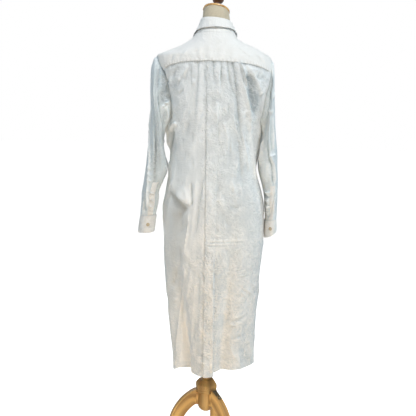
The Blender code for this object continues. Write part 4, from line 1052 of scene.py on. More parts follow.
GATHER_PITCH = 7.0 * MM     # distance between the small tucks under the yoke's seam
GATHER_DEPTH = 3.4 * MM
GATHER_REACH = 6 * MM       # down from the seam
GATHER_TURNS = 60.0         # round from the centre back, to both sides
SEAM_HUSH = 5.0 * MM        # creases die away over this much at the yoke's seam
LAP_HUSH_TURNS = (160.0, 171.0)


def seam_height_at(turn):
    """Height of the seam between the back panel and the yoke at a turn, or of the front seam."""
    away = np.abs(turn)
    corner_turn, corner = armhole(YOKE_CORNER)
    front = armhole(FRONT_CORNER)[1] - FRONT_SEAM_DIP / 2
    back = yoke_seam_height(np.clip(away / corner_turn, 0.0, 1.0))
    return np.where(away < corner_turn, back, np.where(away > 90.0, front, corner))


ARM_SEAM_DEPTH = 2.2 * MM
ARM_SEAM_HALF = 3.5 * MM
ARM_RIDGE = 1.0 * MM        # of the seam allowance, how far away it lies and its half width
ARM_RIDGE_AWAY = 9 * MM
ARM_RIDGE_HALF = 3 * MM
ARM_REACH = 100.0 * MM      # from the armhole's middle to its seam, on average


def arm_seam(turn, height):
    """The trough along the armhole's seam and the thick seam allowance beside it."""
    middle, half = (UNDERARM + SHOULDER_TIP) / 2, (SHOULDER_TIP - UNDERARM) / 2
    share = np.hypot((np.abs(turn) - 90.0) / ARMHOLE_TURN, (height - middle) / half)
    away = (share - 1.0) * ARM_REACH
    ridge = ARM_RIDGE * np.exp(-(((away - ARM_RIDGE_AWAY) / ARM_RIDGE_HALF) ** 2))
    trough = ARM_SEAM_DEPTH * np.exp(-((away / ARM_SEAM_HALF) ** 2))
    return (ridge - trough) * ease(UNDERARM - 5 * MM, UNDERARM + 45 * MM, height)


def body_field(turn, height):
    """How far the body's cloth stands out of the skin, below the yoke, and the same with painted shade and
    painted light added, for its colour.
    """
    u = way_round(turn, height)
    field = crease_field(u, np.broadcast_to(height, u.shape), BACK_SET)
    seam = seam_height_at(turn)
    field = field * np.where(np.abs(turn) < 90.0, ease(0.0, SEAM_HUSH, seam - height), 1.0)
    field = field * (1 - ease(*LAP_HUSH_TURNS, np.abs(turn))) + arm_seam(turn, height)
    tucked = 0.5 + 0.5 * np.cos(2 * math.pi * u / GATHER_PITCH + 2.0 * np.sin(u / (17 * MM)))
    near_seam = np.exp(-(((seam - height) / GATHER_REACH) ** 2))
    near_seam = np.where(np.abs(turn) < GATHER_TURNS, near_seam, 0.0)
    field = field - GATHER_DEPTH * tucked * near_seam
    # Painted shade and painted light from the shade table, laid on the creases' own shading.
    shade = field + crease_field(u, np.broadcast_to(height, u.shape), BACK_SHADE_SET)
    return held_off(field, room_under(turn, height)), shade


def yoke_field(turn, height):
    u = way_round(turn, height)
    field = crease_field(u, np.broadcast_to(height, u.shape), YOKE_SET)
    field = field * ease(0.0, SEAM_HUSH * 0.6, height - seam_height_at(turn))
    field = field * ease(0.0, 12 * MM, neck_height(turn) - height) + arm_seam(turn, height) * 0.5
    return held_off(field, room_under(turn, height))


# ================================================================ the body of the dress

LOWER_ROWS = 186
SEAT_SHARE = 0.545          # where the rows lie closer together, as a share of the skirt's height
SEAT_HALF = 0.032
SEAT_ROWS = 0.018
UPPER_ROWS = 52
HEM_TURNED = 7.0 * MM
HEM_EXTRA = 0.7 * MM
LEFT_COLUMNS = 70
RIGHT_COLUMNS = 76
HEM_RISE_SHARES = (0.25, 0.62)  # over which the right half's risen hem comes down again
TUCK = ((1.6 * MM, -0.9 * MM), (5.0 * MM, -1.3 * MM))   # rows that pass under the yoke: height and depth


def fine_heights(hem, top, arm_share, share):
    """Heights of one column from the hem to the underarm and on to its seam."""
    first = hem + np.array((0.0, 1.6, HEM_TURNED / MM - 0.6, HEM_TURNED / MM + 0.6)) * MM
    even_rows = np.linspace(0.0, 1.0, LOWER_ROWS - 3)
    stretch = even_rows - SEAT_ROWS * np.tanh((even_rows - SEAT_SHARE) / SEAT_HALF)
    stretch = (stretch - stretch[0]) / (stretch[-1] - stretch[0])
    lower = np.concatenate([first, (first[-1] + stretch * (UNDERARM - first[-1]))[1:]])
    even = np.linspace(0.0, 1.0, len(arm_share))
    near = share ** 2
    upper = UNDERARM + (arm_share * near + even * (1 - near))[1:] * (top - UNDERARM)
    return np.concatenate([lower, upper])


def arm_rows(first, last):
    """Stations up one side of the armhole, their turns, and their share of the height."""
    stations = np.linspace(first, last, UPPER_ROWS)
    turns, heights = armhole(stations)
    return turns, (heights - heights[0]) / (heights[-1] - heights[0])


def hem_extra(heights):
    """More thickness along the turned-up hem."""
    return HEM_EXTRA * (1 - ease(HEM_TURNED - 0.8 * MM, HEM_TURNED + 0.8 * MM, heights - heights[0]))


def side_columns(side, count):
    """Turns and heights of the back panel from the pleat (share 0) to one side seam (share 1)."""
    arm_turns, arm_share = arm_rows(0, YOKE_CORNER)
    limit = side * (np.concatenate([np.full(LOWER_ROWS, 90.0), arm_turns[1:]]) - SEAM_TURN)
    edge_name = "left" if side > 0 else "right"
    turns, heights = [], []
    for share in np.linspace(0.0, 1.0, count):
        rise = HEM_RISE * (1 - ease(*HEM_RISE_SHARES, share)) if side < 0 else 0.0
        hem = hem_height(side * 90.0 * share) + rise
        column = fine_heights(hem, yoke_seam_height(share), arm_share, share)
        edge = turn_at(read(PLEAT, edge_name, column) + side * PLEAT_STEP, column)
        turns.append(edge + (limit - edge) * share)
        heights.append(column)
    return np.array(turns).T, np.array(heights).T


UNDER_RUN = 10.0 * MM       # how far the folds of the box pleat reach under its top layer
BEND_STEPS = 5
STRIP_STEPS = 14            # across the pleat's top layer
STRIP_CROWN = 0.5 * MM


def pleat_columns(heights):
    """Across the box pleat from left to right: distance left of the pole and level, for each row."""
    left, right = read(PLEAT, "left", heights), read(PLEAT, "right", heights)
    proud = read(PLEAT, "proud", heights)
    bend = proud / 4
    columns = []

    def put(x, level):
        columns.append((x, level * proud))

    angles = np.linspace(-90.0, 90.0, BEND_STEPS + 2)
    for share in (0.35, 0.7, 1.0):
        put(left + PLEAT_STEP - (UNDER_RUN + PLEAT_STEP) * share, 0.0)
    for angle in np.radians(angles[1:]):
        put(left - UNDER_RUN - bend * math.cos(angle), (1 + math.sin(angle)) / 4)
    for share in (0.35, 0.7):
        put(left - UNDER_RUN + (UNDER_RUN - bend) * share, 0.5)
    for angle in np.radians(angles):
        put(left - bend + bend * math.cos(angle), (3 + math.sin(angle)) / 4)
    for share in np.linspace(0.0, 1.0, STRIP_STEPS)[1:-1]:
        columns.append((left - bend + (right - left + 2 * bend) * share,
                        proud + STRIP_CROWN * math.sin(math.pi * share)))
    for angle in np.radians(angles[::-1]):
        put(right + bend - bend * math.cos(angle), (3 + math.sin(angle)) / 4)
    for share in (0.35, 0.7):
        put(right + bend + (UNDER_RUN - bend) * share, 0.5)
    for angle in np.radians(angles[:0:-1]):
        put(right + UNDER_RUN + bend * math.cos(angle), (1 + math.sin(angle)) / 4)
    for share in (0.0, 0.35, 0.7):
        put(right + UNDER_RUN - (UNDER_RUN + PLEAT_STEP) * share, 0.0)
    return columns


def cloth_uv(points, heights):
    """UV in metres: the way across each row, from its middle, and the height."""
    way = way_across(points)
    return np.stack([way - way[:, -1:] / 2, np.broadcast_to(heights, way.shape)], -1)


SMOOTH_SIDE = (24 * MM, 60 * MM)    # left of the middle the cloth is smoother
SMOOTH_TOP = (1.0, 1.15)            # though less so above these heights
LOW_CLOTH = (0.70, 0.80)            # and below these it is crumpled, most at the pleat
LOW_SIDE = (60 * MM, 95 * MM)       # up to here on the left


def back_panel():
    left_turns, left_heights = side_columns(1, LEFT_COLUMNS)
    right_turns, right_heights = side_columns(-1, RIGHT_COLUMNS)
    arm_share = arm_rows(0, YOKE_CORNER)[1]
    column = fine_heights(hem_height(0.0), YOKE_SEAM_BACK, arm_share, 0.0)
    pleat = pleat_columns(column)
    turns = [left_turns[:, ::-1]] + [turn_at(x, column)[:, None] for x, _ in pleat] + [right_turns]
    heights = [left_heights[:, ::-1]] + [column[:, None]] * len(pleat) + [right_heights]
    levels = ([0 * left_turns] + [(level + 0 * column)[:, None] for _, level in pleat] + [0 * right_turns])
    turns, heights, levels = (np.concatenate(part, axis=1) for part in (turns, heights, levels))
    field, shade = body_field(turns, heights)
    out = field + levels - CLOTH / 2
    thick = CLOTH + hem_extra(heights)
    shade = np.concatenate([shade] + [shade[-1:]] * len(TUCK))
    for rise, depth in TUCK:
        turns = np.concatenate([turns, turns[-1:]])
        heights = np.concatenate([heights, heights[UPPER_ROWS + LOWER_ROWS - 2:][:1] + rise])
        out = np.concatenate([out, levels[-1:] * 0.4 + depth])
        thick = np.concatenate([thick, thick[-1:]])
    middle = skin(turns, heights, out)
    x = middle[..., 0]
    # How crumpled the cloth is, for its crinkle bumps and for the painted highlights on their crests.
    smooth_left = ease(*SMOOTH_SIDE, x) * (1 - 0.4 * ease(*SMOOTH_TOP, heights))
    low = 1 - ease(*LOW_CLOTH, heights)
    crumple_and_glints = 0.95 - 0.8 * smooth_left + low * (0.35 + 0.5 * np.exp(-((x / (26 * MM)) ** 2)))
    crumple_and_glints = np.maximum(crumple_and_glints, low * (1 - ease(*LOW_SIDE, x)))
    return shell("back_panel_cloth", middle, thick, cloth_uv(middle, heights), COTTON,
                 ("back_panel",), painted_shading=shade, crumple_and_glints=crumple_and_glints)


TOP_ROWS = 24               # from the armhole's corner up to the neck


def front_columns(side, count):
    """Turns and heights of one front from its side seam to the centre front and up to the neck."""
    arm_turns, arm_share = arm_rows(ARMHOLE_STEPS, FRONT_CORNER)
    shoulder_turn = armhole(FRONT_CORNER)[0]
    edge_of_band = 180.0 - math.degrees(PLACKET_HALF / FRONT_DEPTH)
    top_rows = np.linspace(0.0, 1.0, TOP_ROWS)
    top_turns = np.full(TOP_ROWS - 1, shoulder_turn)
    limit = np.concatenate([np.full(LOWER_ROWS, 90.0), arm_turns[1:], top_turns]) + SEAM_TURN
    turns, heights = [], []
    for share in np.linspace(0.0, 1.0, count):
        corner = armhole(FRONT_CORNER)[1] - FRONT_SEAM_DIP * share
        column = fine_heights(hem_height(90.0 + 90.0 * share), corner, arm_share, 1 - share)
        neck = neck_height(shoulder_turn + (180.0 - shoulder_turn) * share)
        column = np.concatenate([column, corner + top_rows[1:] * (neck - corner)])
        turns.append(limit + (edge_of_band - limit) * share)
        heights.append(column)
    turns, heights = np.array(turns).T, np.array(heights).T
    half = np.degrees(PLACKET_HALF / read(BODY, "front", heights[:, -1:]))
    lap = [180.0 + half * share for share in (-1.0, -0.5, 0.0, 0.5, 1.0)]
    turns = np.concatenate([turns[:, :-1]] + lap, axis=1)
    heights = np.concatenate([heights] + [heights[:, -1:]] * 4, axis=1)
    return turns * side, heights


FRONT_COLUMNS = 52
NECK_EDGE_IN = 0.6 * MM     # the top row, under the collar's stand


def front_panel(side, name):
    turns, heights = front_columns(side, FRONT_COLUMNS)
    sunk = -(WALL + 2 * LIE) * ease(*UNDERLAP_TURNS, np.abs(turns)) if side > 0 else 0.0
    field, shade = body_field(turns, heights)
    out = field + sunk - CLOTH / 2
    out[-1] -= NECK_EDGE_IN
    middle = skin(turns, heights, out)
    thick = CLOTH + hem_extra(heights)
    made, outer = shell(name + "_cloth", middle, thick, cloth_uv(middle, heights), COTTON,
                        (name,), flip=side > 0, painted_shading=shade)
    return made, outer, turns, heights


def yoke_columns():
    """Turns and lower heights of the yoke: front seam, armhole, back seam and round again."""
    arm = armhole(np.linspace(FRONT_CORNER, YOKE_CORNER, 22))
    shares = np.linspace(1.0, 0.0, 62)
    left_edge = turn_at(read(PLEAT, "left", YOKE_SEAM_BACK) + PLEAT_STEP, YOKE_SEAM_BACK)
    right_edge = turn_at(read(PLEAT, "right", YOKE_SEAM_BACK) - PLEAT_STEP, YOKE_SEAM_BACK)
    corner_turn = armhole(YOKE_CORNER)[0]
    left = left_edge + (corner_turn - left_edge) * shares
    right = right_edge + (-corner_turn - right_edge) * shares[::-1]
    strip = np.linspace(left_edge, right_edge, 20)[1:-1]
    turns = np.concatenate([arm[0], left[1:], strip, right, -arm[0][-2::-1]])
    lows = np.concatenate([arm[1], yoke_seam_height(shares[1:]), np.full(len(strip), YOKE_SEAM_BACK),
                           yoke_seam_height(shares[::-1]), arm[1][-2::-1]])
    return turns, lows


YOKE_ROWS = 34
PUCKER_TURNS = 360.0 / 92   # distance between the puckers along the yoke's seam
PUCKER_LIFT = 1.1 * MM
PUCKER_SHADE = 2.5 * MM
YOKE_BACK_TURNS = (60.0, 75.0)  # round to here it is the back's part of the yoke
YOKE_OVER = 1.3 * MM        # the yoke stands proud of the panel that is sewn under it


def pleat_bump(turns, heights):
    """The box pleat showing through the lower part of the yoke."""
    x = skin_base(turns, heights)[..., 0]
    left, right = PLEAT["left"][0], PLEAT["right"][0]
    soft = 4 * MM
    return ease(right - soft, right + soft / 2, x) * (1 - ease(left - soft / 2, left + soft, x))


def yoke():
    turns, lows = yoke_columns()
    end_turn = 1.2 * SEAM_TURN
    turns = turns.copy()
    turns[0] -= end_turn
    turns[-1] += end_turn
    share = np.linspace(0.0, 1.0, YOKE_ROWS)[:, None] ** 1.15
    highs = neck_height(turns) - SEAM / 2
    heights = lows + (highs - lows) * share
    turns = np.broadcast_to(turns, heights.shape)
    proud = PLEAT["proud"][0] * (1 - ease(0.0, YOKE_PLEAT_SHARE, share)) * pleat_bump(turns, heights)
    back = 1 - ease(*YOKE_BACK_TURNS, np.abs(turns))
    over = YOKE_OVER * back * (1 - ease(0.1, 0.5, share))
    puckers = np.cos(2 * math.pi * turns / PUCKER_TURNS + 1.5 * np.sin(np.radians(turns) * 9))
    near_seam = back * (1 - ease(0.0, 0.12, share))
    field = yoke_field(turns, heights) + PUCKER_LIFT * puckers * near_seam
    # Painted shade: a dotted dark row along the seam's puckers, for the colour only.
    shade = field + PUCKER_SHADE * (puckers - 0.4) * near_seam
    out = field + proud + over - DOUBLE / 2
    middle = skin(turns, heights, out)
    return shell("back_yoke_cloth", middle, DOUBLE, cloth_uv(middle, heights), COTTON_BAND,
                 ("back_yoke",), painted_shading=shade, crumple_and_glints=0.3)


BAND_WAVE = 0.35 * MM


def front_band(turns, heights):
    """The button band, laid on the right front's own edge."""
    across = np.linspace(0.0, 4.0, 9)
    rows = np.arange(len(turns) - 1)
    band_turns = sample(turns[:, -5:, None], rows[:, None], across)[..., 0]
    band_heights = sample(heights[:, -5:, None], rows[:, None], across)[..., 0]
    waves = BAND_WAVE * np.sin(band_heights / (23 * MM)) * np.sin(band_heights / (61 * MM) + 1.0)
    edge = np.minimum(across, across[::-1])
    out = LIE + DOUBLE / 2 + waves * (edge > 0.4)
    middle = skin(band_turns, band_heights, out)
    return shell("front_placket_cloth", middle, DOUBLE, cloth_uv(middle, band_heights), COTTON_BAND,
                 ("front_placket",))


# ================================================================ collar

LAP_TURN = 12.0
STAND_SEAM = 1.5 * SEAM
STAND_LAP_TURNS = (150.0, 165.0)
FALL_END_TURN = 167.0
FALL_LAP_TURNS = (140.0, 160.0)
FALL_CURL = 0.8
FALL = table(("top_turn", "top", "low_turn", "low", "lift"), (
    (0, 1487, 0, 1453, 7.5), (40, 1486, 38, 1451, 7), (80, 1482, 80, 1441, 5.5), (100, 1476, 103, 1431, 5),
    (130, 1460, 130, 1412, 5), (150, 1447, 147, 1398, 6), (167, 1437, 161, 1378, 7)))


def collar_stand():
    turns = np.linspace(180.0 + LAP_TURN, -180.0 - LAP_TURN, 130)
    lap = (WALL + LIE) * ease(*STAND_LAP_TURNS, -turns)
    share = np.linspace(0.0, 1.0, 12)[:, None]
    low = neck_height(turns) + STAND_SEAM
    top = neck_height(turns, "stand_top") + COLLAR_TILT * np.sin(np.radians(turns))
    heights = low + (top - low) * share
    turns = np.broadcast_to(turns, heights.shape)
    middle = skin(turns, heights, lap - BAND / 2 + 0 * heights)
    return shell("collar_stand_cloth", middle, BAND, cloth_uv(middle, heights), COTTON_BAND,
                 ("collar_stand",), crumple_and_glints=0.3)


FALL_ROLL = 8               # rows that roll over the top of the stand
FALL_ROWS = 20
ROLL_DROP = 1.4 * MM        # from the roll's top to where it meets the stand and the fall
ROLL_RISE = 1.2 * MM


def collar_fall():
    """The turned-down collar: it rolls over the stand's top and stands off the neck at its edge."""
    side = np.linspace(FALL_END_TURN, -FALL_END_TURN, 150)
    along = np.abs(side)
    top = read(FALL, "top", along, key="top_turn") + COLLAR_TILT * np.sin(np.radians(side))
    low = read(FALL, "low", along, key="top_turn")
    low_turn = np.sign(side) * read(FALL, "low_turn", along, key="top_turn")
    lift = read(FALL, "lift", along, key="top_turn")
    start = WALL + 2 * LIE + (WALL + LIE) * ease(*FALL_LAP_TURNS, -side)
    share = np.linspace(0.0, 1.0, FALL_ROWS)[::-1, None]
    turns = side + (low_turn - side) * share
    heights = top - ROLL_DROP + (low - top + ROLL_DROP) * share
    out = start + (lift - start) * share ** FALL_CURL - BAND / 2
    waves = 0.5 * MM * np.sin(np.radians(side) * 7 + 0.6) + 0.4 * MM * np.sin(np.radians(side) * 17)
    out = out + waves * ease(0.1, 0.9, share)
    roll = np.radians(np.linspace(0.0, 180.0, FALL_ROLL + 1))[1:, None]
    radius = (start - BAND / 2 + WALL * 0.5) / 2 + 0 * side
    centre_out = start - BAND / 2 - radius
    roll_heights = top - ROLL_DROP + ROLL_RISE * np.sin(roll)
    roll_out = centre_out + radius * np.cos(roll)
    turns = np.concatenate([turns, side + 0 * roll])
    heights = np.concatenate([heights, roll_heights])
    out = np.concatenate([out, roll_out])
    middle = skin(turns, heights, out)
    way = way_across(middle.transpose(1, 0, 2)).T
    across = way_across(middle)
    uv = np.stack([across - across[:, -1:] / 2, way], -1)
    return shell("collar_fall_cloth", middle, BAND, uv, COTTON_BAND, ("collar_fall",),
                 crumple_and_glints=0.3)


# ================================================================ sleeves, cuffs and sleeve bands

SLEEVE_COLUMNS = ("outer_x", "outer_z", "inner_x", "inner_z", "depth", "middle_y", "twist_turn")
SLEEVES = {
    "left": table(SLEEVE_COLUMNS, (
        (209, 1332, 160, 1114, 66, 0, 0), (213, 1270, 164, 1098, 72, -1, 0),
        (211, 1190, 166, 1078, 75, -2, 0), (213, 1122, 161, 1050, 76, -3, 0),
        (219, 1055, 154, 1015, 75, -4, 0), (224, 1000, 152, 985, 73, -4, 0),
        (230, 953, 164, 953, 70, -2, 0), (235, 918, 177, 920, 66, 0, 0),
        (237, 886, 179, 888, 60, 2, 0), (240, 839, 187, 840, 46, 4, 0))),
    "right": table(SLEEVE_COLUMNS, (
        (-194, 1332, -162, 1112, 66, 0, 0), (-198, 1260, -160, 1092, 72, -1, 0),
        (-203, 1180, -158, 1070, 75, -2, 0), (-209, 1115, -156, 1046, 76, -3, 0),
        (-216, 1050, -154, 1016, 75, -4, 0), (-219, 1000, -160, 982, 73, -4, -6),
        (-221, 955, -171, 945, 70, -2, -14), (-222, 920, -179, 908, 66, 0, -22),
        (-222, 880, -183, 868, 60, 2, -30), (-222, 838, -184, 828, 46, 4, -36))),
}
CUFFS = {
    "left": table(SLEEVE_COLUMNS, (
        (240, 838.6, 187, 839.6, 46, 4, 0), (244, 810, 190, 812, 45, 5, 0), (247, 780, 193, 784, 44, 6, 0))),
    "right": table(SLEEVE_COLUMNS, (
        (-222, 837.6, -184, 827.6, 46, 4, -36), (-223, 815, -184, 799, 45, 5, -37),
        (-224, 795, -185, 769, 44, 6, -38))),
}
CUFF_WALL = 2.0 * MM
CUFF_STATION = {"left": 4.2, "right": 6.0}
CUFF_LAP = 22.0
CUFF_SEEDS = {"left": 51, "right": 52}
CUFF_OVERLAP_TURNS = (240.0, 300.0)
PLACKET_STATION = {"left": 3, "right": 5}
HEAD_SHRINK = 0.25

SLEEVE_HEAD_EASE = 3.2 * MM     # fullness over the shoulder, how far down it lies and its half width
SLEEVE_HEAD_DOWN = 13 * MM
SLEEVE_HEAD_HALF = 9 * MM
SLEEVE_COLUMNS_FINE = 150
SLEEVE_ROWS_FINE = 150

# Creases on the sleeves, as creases_by reads them.
SLEEVE_CREASES = {
    "left": (
        (161, 1308, 156, 1280, 155, 1247, 155, 1216, 7, 6, -8.0, 0.15, 0.2),
        (177, 1332, 179, 1294, 176, 1259, 174, 1236, 6, 5, 5.0, 0.2, 0.3),
        (183, 1339, 185, 1302, 186, 1271, 186, 1246, 3, 3, -4.0, 0.2, 0.3),
        (175, 1190, 168, 1201, 159, 1212, 153, 1204, 2.8, 2.8, 9.0, 0.15, 0.2),
        (163, 1201, 157, 1180, 154, 1155, 153, 1130, 4, 4, 4.5, 0.1, 0.4),
        (186, 1256, 184, 1226, 181, 1190, 174, 1154, 169, 1125, 2.8, 2.8, -4.5, 0.2, 0.5),
        (199, 1344, 198, 1276, 194, 1200, 188, 1123, 6, 6, 3.0, 0.2, 0.4),
        (208, 1210, 209, 1135, 209, 1044, 209, 993, 211, 951, 215, 905, 216, 856, 4, 3.5, 5.0, 0.15, 0.1),
        (198, 1190, 196, 1091, 194, 1044, 195, 993, 191, 942, 3, 15, -5.5, 0.25, 0.4),
        (219, 1010, 220, 946, 220, 903, 219, 852, 2.6, 2.6, -4.5, 0.2, 0.1),
        (186, 980, 183, 928, 185, 880, 190, 845, 7, 7, -4.0, 0.3, 0.1),
        (168, 1110, 163, 1085, 158, 1060, 9, 9, 2.6, 0.4, 0.4),
        (155, 1036, 152, 1010, 157, 985, 9, 9, 3.0, 0.4, 0.4),
        (212, 1004, 208, 999, 203, 996, 2.6, 2.6, 3.4, 0.3, 0.3),
        (213, 985, 207, 978, 202, 972, 2.6, 2.6, 3.4, 0.3, 0.3),
        (213, 965, 207, 958, 202, 953, 2.6, 2.6, 3.0, 0.3, 0.3),
        (207, 921, 199, 917, 193, 912, 2.8, 2.8, 4.0, 0.3, 0.3),
        (208, 897, 200, 892, 194, 888, 2.8, 2.8, 4.0, 0.3, 0.3),
        (211, 877, 204, 872, 197, 869, 2.8, 2.8, 4.6, 0.3, 0.3),
        (211, 864, 203, 860, 196, 858, 2.6, 2.6, 4.0, 0.3, 0.3),
        (210, 853, 202, 850, 196, 848, 2.4, 2.4, 3.4, 0.3, 0.3),
        (226, 900, 228, 868, 229, 846, 3, 3, 3.0, 0.3, 0.1),
    ),
    "right": (
        (-185, 1308, -177, 1250, -173, 1200, -168, 1162, -164, 1125, 4, 4, -6.0, 0.1, 0.4),
        (-185, 1232, -189, 1247, -191, 1261, 2.8, 2.8, 4.5, 0.3, 0.3),
        (-170, 1192, -182, 1191, -195, 1194, 3, 3, 3.6, 0.2, 0.3),
        (-174, 1125, -174, 1084, -177, 1058, 2.8, 2.8, -4.5, 0.3, 0.1),
        (-179, 1180, -179, 1118, -182, 1068, 3, 3, 4.0, 0.2, 0.1),
        (-184, 1176, -184, 1118, -188, 1064, 2.6, 2.6, -3.6, 0.2, 0.1),
        (-188, 1184, -190, 1118, -194, 1066, 3, 3, 4.2, 0.2, 0.1),
        (-193, 1176, -196, 1118, -200, 1070, 2.6, 2.6, -3.0, 0.2, 0.1),
        (-174, 1062, -184, 1034, -191, 1013, -195, 975, -199, 945, 2.6, 2.6, -6.0, 0.05, 0.3),
        (-182, 1052, -191, 1032, -198, 1010, -202, 975, -205, 945, 4, 4, 6.5, 0.05, 0.3),
        (-180, 1053, -188, 1047, -201, 1058, 2.8, 2.8, 6.0, 0.1, 0.2),
        (-170, 1040, -176, 1000, -178, 955, 12, 12, 2.6, 0.3, 0.3),
        (-184, 940, -188, 893, -186, 850, 8, 8, 3.2, 0.2, 0.2),
        (-172, 934, -184, 926, -197, 934, 2.8, 2.8, 4.6, 0.2, 0.2),
        (-174, 918, -185, 912, -195, 916, 2.8, 2.8, -3.6, 0.2, 0.3),
        (-176, 904, -186, 897, -196, 904, 2.8, 2.8, 4.2, 0.2, 0.3),
        (-178, 884, -187, 877, -196, 882, 2.8, 2.8, 4.0, 0.2, 0.3),
        (-180, 862, -187, 856, -193, 860, 2.8, 2.8, 3.6, 0.2, 0.3),
        (-207, 932, -201, 894, -196, 863, -190, 840, 3, 4, -5.0, 0.15, 0.1),
        (-165, 1115, -161, 1060, -159, 1006, 10, 10, 7.0, 0.3, 0.3),
    ),
}
# Painted shade and painted light on the sleeves' colour only, read like the back's shade table.
SLEEVE_SHADE = {
    "left": (
        (171, 1328, 168, 1292, 165, 1255, 163, 1206, 13, 18, -16.0, 0.06, 0.1),
        (184, 1200, 181, 1120, 176, 1050, 178, 960, 13, 16, -6.0, 0.2, 0.3),
        (184, 1352, 193, 1310, 194, 1260, 192, 1190, 15, 14, -5.0, 0.02, 0.4),
        (193, 1230, 190, 1150, 189, 1058, 193, 1009, 191, 960, 193, 880, 11, 10, -7.0, 0.2, 0.2),
        (168, 1190, 167, 1156, 167, 1108, 172, 1070, 10, 9, -9.0, 0.15, 0.3),
    ),
    "right": (
        (-186, 1312, -182, 1250, -180, 1194, 13, 16, -8.0, 0.1, 0.08),
        (-168, 1180, -167, 1110, -170, 1080, 7, 7, -3.0, 0.2, 0.3),
        (-158, 1090, -160, 1050, -165, 1016, -169, 966, -174, 916, -176, 865, 6, 9, 8.0, 0.2, 0.1),
    ),
}
# The same for the hidden front of both sleeves, for the left one.
SLEEVE_FRONT_CREASES = (
    (200, 1290, 196, 1200, 198, 1090, 8, 8, -6.0, 0.2, 0.4),
    (184, 1240, 182, 1150, 178, 1070, 6, 6, 4.5, 0.3, 0.3),
    (206, 1080, 196, 1060, 178, 1044, 5, 5, 5.0, 0.2, 0.4),
    (208, 1050, 196, 1034, 176, 1020, 5, 5, -5.0, 0.2, 0.4),
    (176, 1090, 186, 1072, 200, 1062, 4, 4, 3.5, 0.2, 0.4),
    (204, 1000, 206, 930, 212, 860, 7, 7, -5.0, 0.3, 0.3),
    (190, 980, 194, 910, 200, 850, 5, 5, 4.0, 0.3, 0.2),
)


def sleeve_rings(tab, station):
    """Rings through a sleeve's sections at the given stations round it."""
    angle = 2 * math.pi * station / ARMHOLE_STEPS + np.radians(tab["twist_turn"])[:, None]
    high = np.stack([tab["outer_x"], 0 * tab["outer_x"], tab["outer_z"]], -1)
    low = np.stack([tab["inner_x"], 0 * tab["inner_x"], tab["inner_z"]], -1)
    middle = (high + low) / 2
    middle[:, 1] = tab["middle_y"]
    reach = (high - low) / 2
    points = middle[:, None] - reach[:, None] * np.cos(angle)[..., None]
    points[..., 1] += tab["depth"][:, None] * np.sin(angle)
    return points


def nearest_cloth(grid, u, v, x, z, back):
    """Cloth coordinates of the sleeve's point nearest to x and z on its back or its front."""
    facing = grid[..., 1] > grid[..., 1].mean(axis=1, keepdims=True)
    if not back:
        facing = ~facing
    distance = np.hypot(grid[..., 0] - x, grid[..., 2] - z) + np.where(facing, 0.0, 1.0)
    at = np.unravel_index(distance.argmin(), distance.shape)
    return u[at], v[at]


# Creases scattered on a sleeve: seed on the left, count, reach round, ends (from the top or, where they
# are counted from the cuff, from the bottom), length, half width, lift and spread of heading.
SLEEVE_CRUMPLE = (
    (41, 60, 230, ("cuff", 0), ("top", -20), (30, 90), (4, 8), (0.5, 1.6), 14),
    (43, 46, 150, ("cuff", 0), ("cuff", 60), (24, 50), (3, 5), (0.8, 2.0), 8),
    (45, 34, 230, ("top", -40), ("top", -6), (14, 30), (3, 5), (0.5, 1.3), 10),
)
SLEEVE_DEEPEST, SLEEVE_HIGHEST = -14 * MM, 9 * MM


